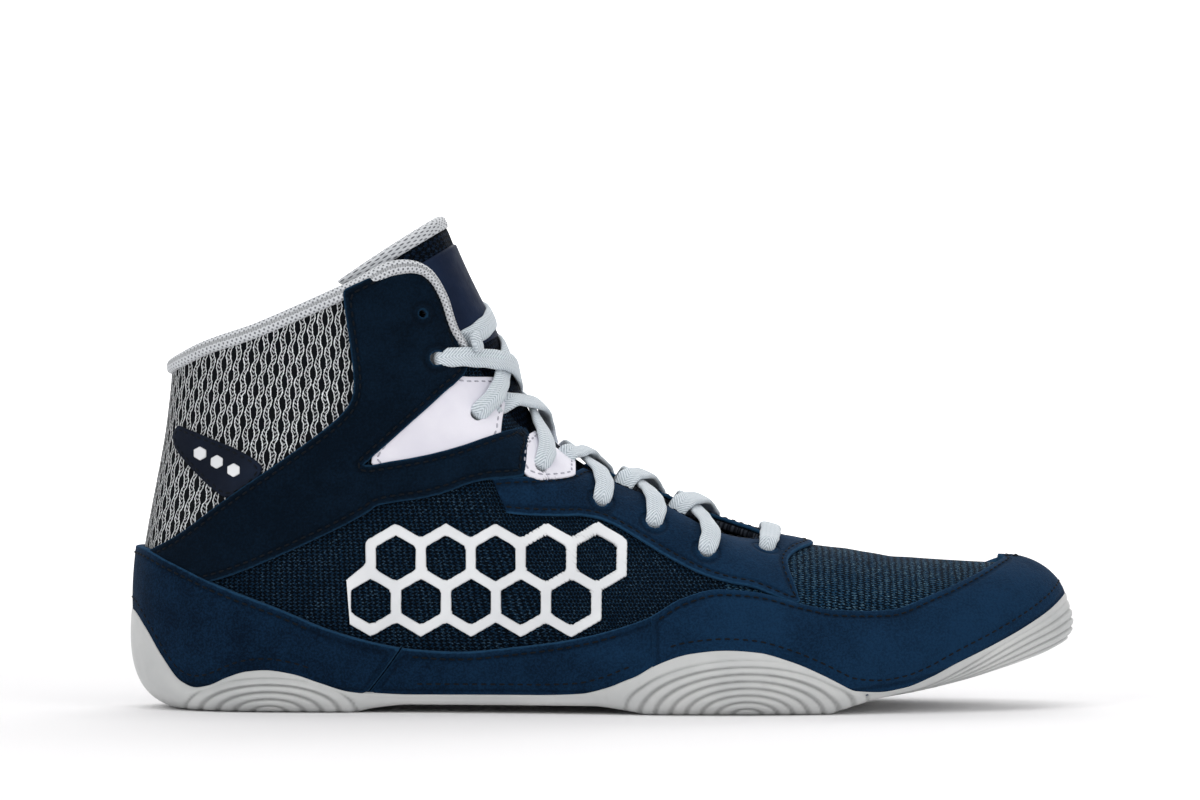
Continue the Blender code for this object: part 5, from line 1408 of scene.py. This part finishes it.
def build_sole():
    """The sole: its ribbed side up to the lip round the upper, closed by the tread and the seat."""
    ring, foot, out = foot_line(SOLE_COLUMNS)
    x = foot[:, 0] / LENGTH
    wrap = wrap_climb(ring)
    top = skin(ring, wrap, GAP + SOLE_EASE + SOLE_LIP + LIP_MORE) + ORIGIN
    inner_top = skin(ring, wrap, GAP) + ORIGIN
    under = foot - out * (SOLE_TUCK * curve(TUCK, x))[:, None]
    under[:, 2] = bottom_height(foot[:, 0])
    height = top[:, 2] - under[:, 2]
    reach = foot + out * (SOLE_BULGE * curve(BULGE, x))[:, None]
    first, second = reach.copy(), reach.copy()
    first[:, 2] = under[:, 2] + height * SHOULDER
    second[:, 2] = under[:, 2] + height * HEM
    t = np.linspace(0, 1, SOLE_LEVELS)[None, :, None]
    side = bezier(top[:, None], first[:, None], second[:, None], under[:, None], t)
    depth, groove_shade = pod_waves(side[..., 0], side[..., 2], under[:, None, 2], height[:, None])
    fade = np.clip(t[..., 0] / FADE_TOP, 0, 1) * np.clip((1 - t[..., 0]) / FADE_BOTTOM, 0, 1)
    side = side + out[:, None] * (depth * fade)[..., None]
    count, half = len(ring), len(ring) // 2
    lip = (top + inner_top) / 2 + [0, 0, SOLE_LIP * 0.35]
    seat = foot - out * 0.001
    seat[:, 2] = seat_height(foot[:, 0]) - GAP
    rows = [seat, inner_top, lip] + [side[:, j] for j in range(SOLE_LEVELS)]
    # Painted groove shade of each point, faded like the ribs.
    values = [0 * x, 0 * x, 0 * x] + [(groove_shade * fade)[:, j] for j in range(SOLE_LEVELS)]
    points, groove = [p for row in rows for p in row], [v for row in values for v in row]
    faces = grid_faces(len(rows), count, close_cols=True)

    def close(level, height_at):
        """Closes a row across the sole, at the heights and painted groove shade that height_at gives."""
        start = level * count
        lines = []
        for i in range(half + 1):
            a, b = i, -i % count
            if a == b:
                lines.append([start + a] * (PLATE_STEPS + 1))
                continue
            line = [start + a]
            for s in np.linspace(0, 1, PLATE_STEPS + 1)[1:-1]:
                p = np.array(points[start + a]) * (1 - s) + np.array(points[start + b]) * s
                height_here, mark = height_at(p, min(s, 1 - s))
                points.append(np.array([p[0], p[1], height_here]))
                groove.append(mark)
                line.append(len(points) - 1)
            lines.append(line + [start + b])
        for one, two in zip(lines, lines[1:]):
            for j in range(PLATE_STEPS):
                face = list(dict.fromkeys((one[j], two[j], two[j + 1], one[j + 1])))
                if len(face) > 2:
                    faces.append(tuple(face))

    def tread(p, s):
        depth = 0.0
        share_x = p[0] / LENGTH
        for centre, radius, pitch in TREAD_DISCS:
            away = math.hypot((share_x - centre) * LENGTH, p[1] - TREAD_SIDE * (centre > 0.4))
            if away < radius:
                depth = max(depth, 0.5 + 0.5 * math.cos(2 * math.pi * away / pitch))
        fade = min(1.0, s / FADE_TREAD)
        # The tread rings' depth also sets painted shade in their grooves.
        return float(bottom_height(p[0])) + TREAD_DEPTH * depth * fade, depth

    close(len(rows) - 1, tread)
    close(0, lambda p, s: (float(seat_height(p[0])) - GAP, 0.0))
    mesh_object("outsole_cup", np.array(points) - ORIGIN, faces, RUBBER, "rubber", ["outsole"],
                groove=np.array(groove))


def build_insole():
    """A footbed with a rolled edge, a little hollow along its middle."""
    ring, foot, out = foot_line(INSOLE_COLUMNS)
    edge = foot - out * INSOLE_INSET
    half = len(ring) // 2
    pairs = [(i, -i % len(ring)) for i in range(half + 1)]
    share = np.linspace(0, 1, 21)
    line = np.array([edge[a] * (1 - share[:, None]) + edge[b] * share[:, None] for a, b in pairs])
    base = seat_height(line[..., 0])
    rim = np.clip(np.minimum(share, 1 - share) / 0.1, 0, 1)[None]
    high = line.copy()
    high[..., 2] = base + INSOLE_THICKNESS - INSOLE_DISH * np.sin(np.pi * share)[None] + INSOLE_CURL * (1 - rim)
    low = line.copy()
    low[..., 2] = base
    points, faces = closed_grid(high, low)
    mesh_object("footbed", points - ORIGIN, faces, LINING, "lining_fabric", ["insole"])


# Tongue, binding and laces

def tongue_surface(along, across, depth):
    """Points of the tongue: along 0 to 1 from vamp to end, across -1 to 1, depth below its outside."""
    table = columns(TONGUE, TONGUE_COLUMNS)
    at = np.asarray(along, float) * (len(TONGUE) - 1)
    knots = stacked([table["x"] * LENGTH, 0 * table["x"], outline_height(table["z"])])
    line = through(knots, at, False)
    ahead, behind = through(knots, at + 0.02, False), through(knots, at - 0.02, False)
    tangent = unit(ahead - behind)
    inward = stacked([-tangent[:, 2], 0 * at, tangent[:, 0]])
    width = through(table["half_width"][:, None], at, False)[:, 0] * HALF_WIDTH
    radius = through(table["radius"][:, None], at, False)[:, 0] * HALF_WIDTH
    across = np.broadcast_to(across, (len(at), np.shape(across)[-1]))
    wrap = np.clip((np.asarray(along, float) - WRAP_FROM) / (1 - WRAP_FROM), 0, 1)[:, None]
    turn = (width / radius)[:, None] * across * (1 + WRAP_MORE * wrap)
    reach = radius[:, None] - depth
    back = (radius[:, None] - np.cos(turn) * reach) * (1 + WRAP_STRETCH * wrap * np.abs(across))
    sag = WRAP_SAG * wrap * across * across
    points = line[:, None] + inward[:, None] * back[..., None] - tangent[:, None] * sag[..., None]
    points[..., 1] = np.sin(turn) * reach * (1 - WRAP_PINCH * wrap * np.abs(across) ** 3)
    return points - ORIGIN


def tongue_loops(name, along, swell, span, finish, slot, nodes, blunt):
    """A closed padded body round the tongue's middle layer, its ends drawn in over a length of blunt."""
    angle = np.linspace(0, TURN, TONGUE_AROUND, endpoint=False)
    across = squarish(np.cos(angle), 0.6) * span
    close = np.clip(np.minimum(along - along[0], along[-1] - along) / blunt, 0, 1)
    half = (TONGUE_THICKNESS / 2 + swell) * dome(close, 0.0025)
    quilting = 1 + TONGUE_PUFF * np.cos(np.linspace(0, 1, len(along)) * TURN * TONGUE_PUFFS)[:, None]
    depth = TONGUE_THICKNESS / 2 - squarish(np.sin(angle), 0.5)[None] * half[:, None] * quilting
    points = tongue_surface(along, across[None], depth)
    return tube(name, points, finish, slot, nodes, walked(points[:, TONGUE_AROUND // 4]), across * TONGUE_CLOTH)


def build_tongue():
    """The padded tongue with a knit binding on its free end and a smooth panel on its front."""
    body = tongue_loops("tongue_body", np.linspace(0, 0.995, 150), 0.0, 1.0, TONGUE_MESH,
                        "tongue_fabric", ["tongue"], 0.02)
    tongue_loops("tongue_binding", np.linspace(1 - TONGUE_BAND, 1.004, 22), 0.0008, 1.015, BINDING_KNIT,
                 "binding_knit", (), 0.007)
    along, across = np.linspace(*PATCH_ALONG, 60), np.linspace(*PATCH_ACROSS, 60)
    edge = np.minimum.outer(np.minimum(along - along[0], along[-1] - along) * TONGUE_METRES,
                            np.minimum(across - across[0], across[-1] - across) * TONGUE_HALF)
    outer = tongue_surface(along, across, -PATCH_LIFT * dome(np.clip(edge / EDGE_ROUND, 0, 1)))
    points, faces = closed_grid(outer, tongue_surface(along, across, PATCH_UNDER))
    mesh_object("tongue_patch", points, faces, SMOOTH_NAVY, "tongue_fabric", edge=np.tile(edge.ravel(), 2),
                cloth=np.tile(outer.reshape(-1, 3), (2, 1)))


def build_binding():
    """A knitted tape folded over the collar's edge, from one wing round the heel to the other."""
    ring = np.linspace(TOE_ROW - BINDING_ROWS, TOE_ROW + BINDING_ROWS, 420)
    edge = skin(ring, 1.0, 0.0)
    normal = smooth_normal(ring, 1.0 + 0 * ring)
    rib = skin(ring, 0.95, 0.0) - edge
    down = np.cross(normal, np.gradient(edge, axis=0))
    down = unit(down * np.sign((down * rib).sum(axis=1))[:, None])
    row = np.abs(ring - TOE_ROW)
    outer = BINDING_OUT + (GAP + SADDLE_THICK) * np.clip((row - BINDING_ON_WING) / 0.8, 0, 1)
    inner = -WALL - BINDING_OUT
    low, high = np.interp(row, BINDING_AT, BINDING_DOWN), np.interp(row, BINDING_AT, BINDING_UP)
    end = dome(np.clip((BINDING_ROWS - row) / 0.35, 0, 1), 0.01)
    angle = np.linspace(0, TURN, 28, endpoint=False)
    n = ((outer + inner) / 2)[:, None] + ((outer - inner) / 2 * end)[:, None] * squarish(np.cos(angle), 0.62)
    h = ((low - high) / 2)[:, None] + ((low + high) / 2 * end)[:, None] * squarish(np.sin(angle), 0.62)
    points = edge[:, None] + normal[:, None] * n[..., None] + down[:, None] * h[..., None]
    tube("collar_binding_knit", points, BINDING_KNIT, "binding_knit", ["collar_binding"],
         walked(edge), walked(points[len(points) // 2]))


def tree_of(points, closed=False):
    rows, cols = points.shape[:2]
    return BVHTree.FromPolygons([tuple(p) for p in points.reshape(-1, 3)],
                                grid_faces(rows, cols, close_rows=closed))


def height_over(tree, at, up):
    found = tree.ray_cast(at + up * 0.08, -up)[0]
    return (found - at).dot(up) if found is not None else -1.0


def lace_route(start, far, up, over, under, crossed, from_hole, to_hole):
    """Middle points and sideways vectors of a strand pulled taut between the sides of the throat."""
    across = (far - start).cross(up).normalized() * (LACE_WIDTH / 2)
    length = (far - start).length

    def edge(first, last):
        for share in np.linspace(first, last, 101):
            at = start.lerp(far, share)
            if height_over(over, at, up) > height_over(under, at, up):
                return share
        return last

    share = 1.0 if to_hole else edge(0.5, 1)
    begin = 0.0 if from_hole else edge(0.5, 0)
    tuck = LACE_TUCK / length
    places = np.linspace(begin - (0 if from_hole else tuck), share + (0 if to_hole else tuck), LACE_SAMPLES + 1)
    line = [start.lerp(far, s) for s in places]
    shifts = np.linspace(-1.0, 1.0, 7)

    def highest(at, free):
        trees = ([over] if free else []) + [under] + crossed
        return max(height_over(tree, at, up) for tree in trees)

    free = [(from_hole or p > begin) and (to_hole or p < share) for p in places]
    found = [[highest(at + across * s, f) for s in shifts] for at, f in zip(line, free)]
    tilts = np.array([(row[-1] - row[0]) / 2 if abs(row[-1] - row[0]) < LACE_WIDTH / 2 else 0 for row in found])
    relax(tilts, 60)
    heights = np.array([max(h - s * tilt for h, s in zip(row, shifts)) for row, tilt in zip(found, tilts)])
    known = heights > -0.5
    heights = np.interp(places, places[known], heights[known])
    first = 0 if from_hole else int(np.searchsorted(places, begin))
    last = LACE_SAMPLES if to_hole else int(np.searchsorted(places, share))
    heights[first:last + 1] = upper_hull(places[first:last + 1] * length, heights[first:last + 1])
    relax(heights, LACE_RELAX)
    heights = heights + LACE_THICKNESS / 2 + LACE_CLEARANCE
    middle = np.array([at + up * h for at, h in zip(line, heights)])
    sideways = np.array([(across + up * tilt).normalized() for tilt in tilts])
    return middle, sideways


def upper_hull(x, y):
    """The lowest curve over the points that never bends upwards: a cord pulled taut."""
    kept = []
    for i in range(len(x)):
        while len(kept) > 1:
            a, b = kept[-2], kept[-1]
            if (y[b] - y[a]) * (x[i] - x[a]) <= (y[i] - y[a]) * (x[b] - x[a]):
                kept.pop()
            else:
                break
        kept.append(i)
    return np.interp(x, x[kept], y[kept])


def into_hole(middle, sideways, spot, normal):
    """Adds the way from inside the shoe through an eyelet and round its rim to a strand's start."""
    keep = walked(middle) > HOLE_BEND
    free, free_side = middle[keep], sideways[keep]
    ahead = free[0] - spot
    ahead = unit(ahead - normal * (ahead @ normal))
    back = spot - ahead * HOLE_BACK
    lift = (free[0] - spot) @ normal
    knots = [back - normal * HOLE_DEPTH, back - normal * 0.0005, back + normal * lift * 0.55,
             back + ahead * 0.0016 + normal * (lift + 0.0004), free[0], free[min(3, len(free) - 1)]]
    bend = through(np.array(knots), np.linspace(0, 4, 33)[:-1], False)
    side = np.cross(ahead, normal)
    side *= -1 if side @ free_side[0] < 0 else 1
    blend = np.linspace(0, 1, len(bend))
    bend_side = unit(side * (1 - blend[:, None]) + free_side[0] * blend[:, None])
    widths = np.interp(blend, (0, 0.35, 1), (0.62, 0.80, 1.0))
    return (np.concatenate([bend, free]), np.concatenate([bend_side, free_side]),
            np.concatenate([widths, np.ones(len(free))]))


def lace_mesh(name, node, middle, sideways, widths, seed):
    """A flat woven cord with rounded edges along its middle points. Returns it as a search tree."""
    way = walked(middle)
    at = np.linspace(0, way[-1], max(int(way[-1] / LACE_STEP), 12))
    line = at_each(at, way, middle)
    relax(line, 3)
    side = at_each(at, way, sideways)
    width = np.interp(at, way, widths) * LACE_WIDTH / 2
    ahead = unit(np.gradient(line, axis=0))
    side = unit(side - ahead * (side * ahead).sum(1)[:, None])
    up = np.cross(ahead, side)
    angle = np.linspace(0, TURN, LACE_AROUND, endpoint=False)
    flat, thick = squarish(np.cos(angle), 0.75), squarish(np.sin(angle), 0.7)
    squeeze = 1 + 0.5 * (1 - width / width.max())
    wave = 1 + 0.035 * np.sin(at * TURN / 0.0085 + seed)
    points = (line[:, None] + side[:, None] * (width * wave)[:, None, None] * flat[None, :, None]
              + up[:, None] * (LACE_THICKNESS / 2 * squeeze)[:, None, None] * thick[None, :, None])
    tube(name, points, LACE, "lace", [node], at, flat * LACE_WIDTH / 2, seed)
    return tree_of(points)


def build_laces():
    """A bar at the throat's front, crossings above it and one end tucked in under the wing."""
    rows, cols = np.meshgrid(np.arange(0, RING, 0.25), np.linspace(0, 1, 60), indexing="ij")
    over = tree_of(skin(rows, cols, GAP + SADDLE_THICK), closed=True)
    under = tree_of(tongue_surface(np.linspace(0, 1, 90), np.linspace(-1, 1, 41), 0.0))
    spots = {s: [Vector(spot - ORIGIN) for spot in EYELET_SPOTS[s]] for s in (-1, 1)}
    normals = {s: [hole_normal(spot, s) for spot in EYELET_SPOTS[s]] for s in (-1, 1)}
    done = []

    def strand(name, node, from_side, first, last, up, crossed, through_far, from_inside=False):
        start, far = spots[from_side][first], spots[-from_side][last]
        middle, sideways = lace_route(start, far, up, over, under, crossed, not from_inside, through_far)
        widths = np.ones(len(middle))
        if not from_inside:
            middle, sideways, widths = into_hole(middle, sideways, np.array(start), normals[from_side][first])
        if through_far:
            middle, sideways, back = (part[::-1] for part in into_hole(
                middle[::-1], sideways[::-1], np.array(far), normals[-from_side][last]))
            widths = np.interp(np.linspace(0, 1, len(middle)), np.linspace(0, 1, len(widths)), widths)
            widths = np.minimum(widths, back)
        done.append(name)
        return lace_mesh(name, node, middle, sideways, widths, (len(done) - 1) * 1.7)

    def over_rungs(k):
        """Straight out of the throat between one pair of eyelets and the next."""
        climb = spots[-1][k + 1] - spots[-1][k]
        return Vector((climb.z, 0, -climb.x)).normalized()

    strand("lace_bar_woven", "lace_bar", -1, 0, 0, Vector((0.3, 0, 1)).normalized(), [], True)
    for k in range(1, CROSSINGS + 1):
        up, node, last = over_rungs(k), "lace_cross_%d" % k, k == CROSSINGS
        tree = strand("lace_%d_lateral" % k, node, -1, k, k + 1, up, [], False)
        tree = strand("lace_%d_medial" % k, node, 1, k, k + 1, TOP_STRAND_UP if last else up, [tree], last)
    strand("lace_end", node, -1, k + 1, k + 2, over_rungs(k + 1), [tree], False, True)


def hole_normal(spot, side):
    normal = np.array(LAST_TREE.find_nearest(Vector(spot))[1])
    return normal if normal[1] * side > 0 else -normal


def small_marks():
    """Generic hexagons on the dark heel patches."""
    cells = [np.array(hexagon(x, z, MARK_RADIUS)) for x, z in scaled(MARK_SPOTS)]

    def distance(sheet):
        return np.max([outline_distance(cell, sheet.points[..., 0], sheet.points[..., 2]) for cell in cells], axis=0)

    for side, name in SIDES:
        sheet = Sheet(rows_window(0.1, 5.5, side, 40), np.linspace(0.3, 0.9, 240), distance)
        laid_piece("heel_marks_" + name, (), "white_film", [sheet], GAP + PATCH_THICK, MARK_THICK,
                   WHITE_FILM, radius=MARK_ROUND)


def build_stage():
    """A pale floor that bends up far behind the shoe."""
    across = np.linspace(-6, 6, 3)
    line = [(-3.0, 0.0), (4.0, 0.0)] + [(4.0 + 1.5 * math.sin(a), 1.5 - 1.5 * math.cos(a))
                                        for a in np.linspace(0, math.pi / 2, 13)[1:]] + [(5.5, 6.0)]
    points = [(x, y, z) for y, z in line for x in across]
    look = Look("studio_white", Roughness=0.9, Emission_Color=(1.0, 1.0, 1.0))
    place = look.place()
    look.plug(look.shader, {"Emission Strength": look.split(place)[1].ranged(0.3, 2.0, 0.0, 0.75)})
    tone = look.mix(look.noise(place, 2.0), srgb(248, 247, 248), srgb(251, 250, 251))
    mesh = bpy.data.meshes.new("studio_floor")
    mesh.from_pydata(points, [], grid_faces(len(line), len(across)))
    mesh.materials.append(look.finish(tone))
    mesh.shade_smooth()
    floor = bpy.data.objects.new("studio_floor", mesh)
    bpy.context.scene.collection.objects.link(floor)


def aimed(name, data, place, target):
    """An object that looks at a target."""
    made = bpy.data.objects.new(name, data)
    made.location = place
    made.rotation_euler = (Vector(target) - Vector(place)).to_track_quat("-Z", "Y").to_euler()
    bpy.context.scene.collection.objects.link(made)
    return made


def build_studio():
    scene = bpy.context.scene
    camera = bpy.data.cameras.new("photo_camera")
    camera.sensor_width = 36.0
    camera.lens = 36.0 * CAMERA_AWAY / VIEW_WIDTH
    camera.clip_end = 50.0
    tilt = math.radians(CAMERA_TILT)
    place = Vector(VIEW_CENTRE) + Vector((0, -math.cos(tilt), math.sin(tilt))) * CAMERA_AWAY
    scene.camera = aimed("photo_camera", camera, place, VIEW_CENTRE)
    for name, place, target, (wide, high), power in LIGHTS:
        light = bpy.data.lights.new(name, "AREA")
        light.shape, light.size, light.size_y, light.energy = "RECTANGLE", wide, high, power
        aimed(name, light, place, target)
    world = bpy.data.worlds.new("studio_world")
    world.use_nodes = True
    world.node_tree.nodes["Background"].inputs[0].default_value = (1.0, 1.0, 1.0, 1.0)
    world.node_tree.nodes["Background"].inputs[1].default_value = WORLD_LIGHT
    scene.world = world
    scene.view_settings.view_transform = "Standard"
    scene.view_settings.look = "None"


build_studio()
build_stage()
build_upper()
dark_lines, white_lines = build_layers()
build_rand(dark_lines)
small_marks()
stitches("navy_stitches", dark_lines, NAVY_THREAD, "suede")
stitches("white_stitches", white_lines, WHITE_THREAD, "white_leather")
build_sole()
build_insole()
build_tongue()
build_binding()
build_laces()
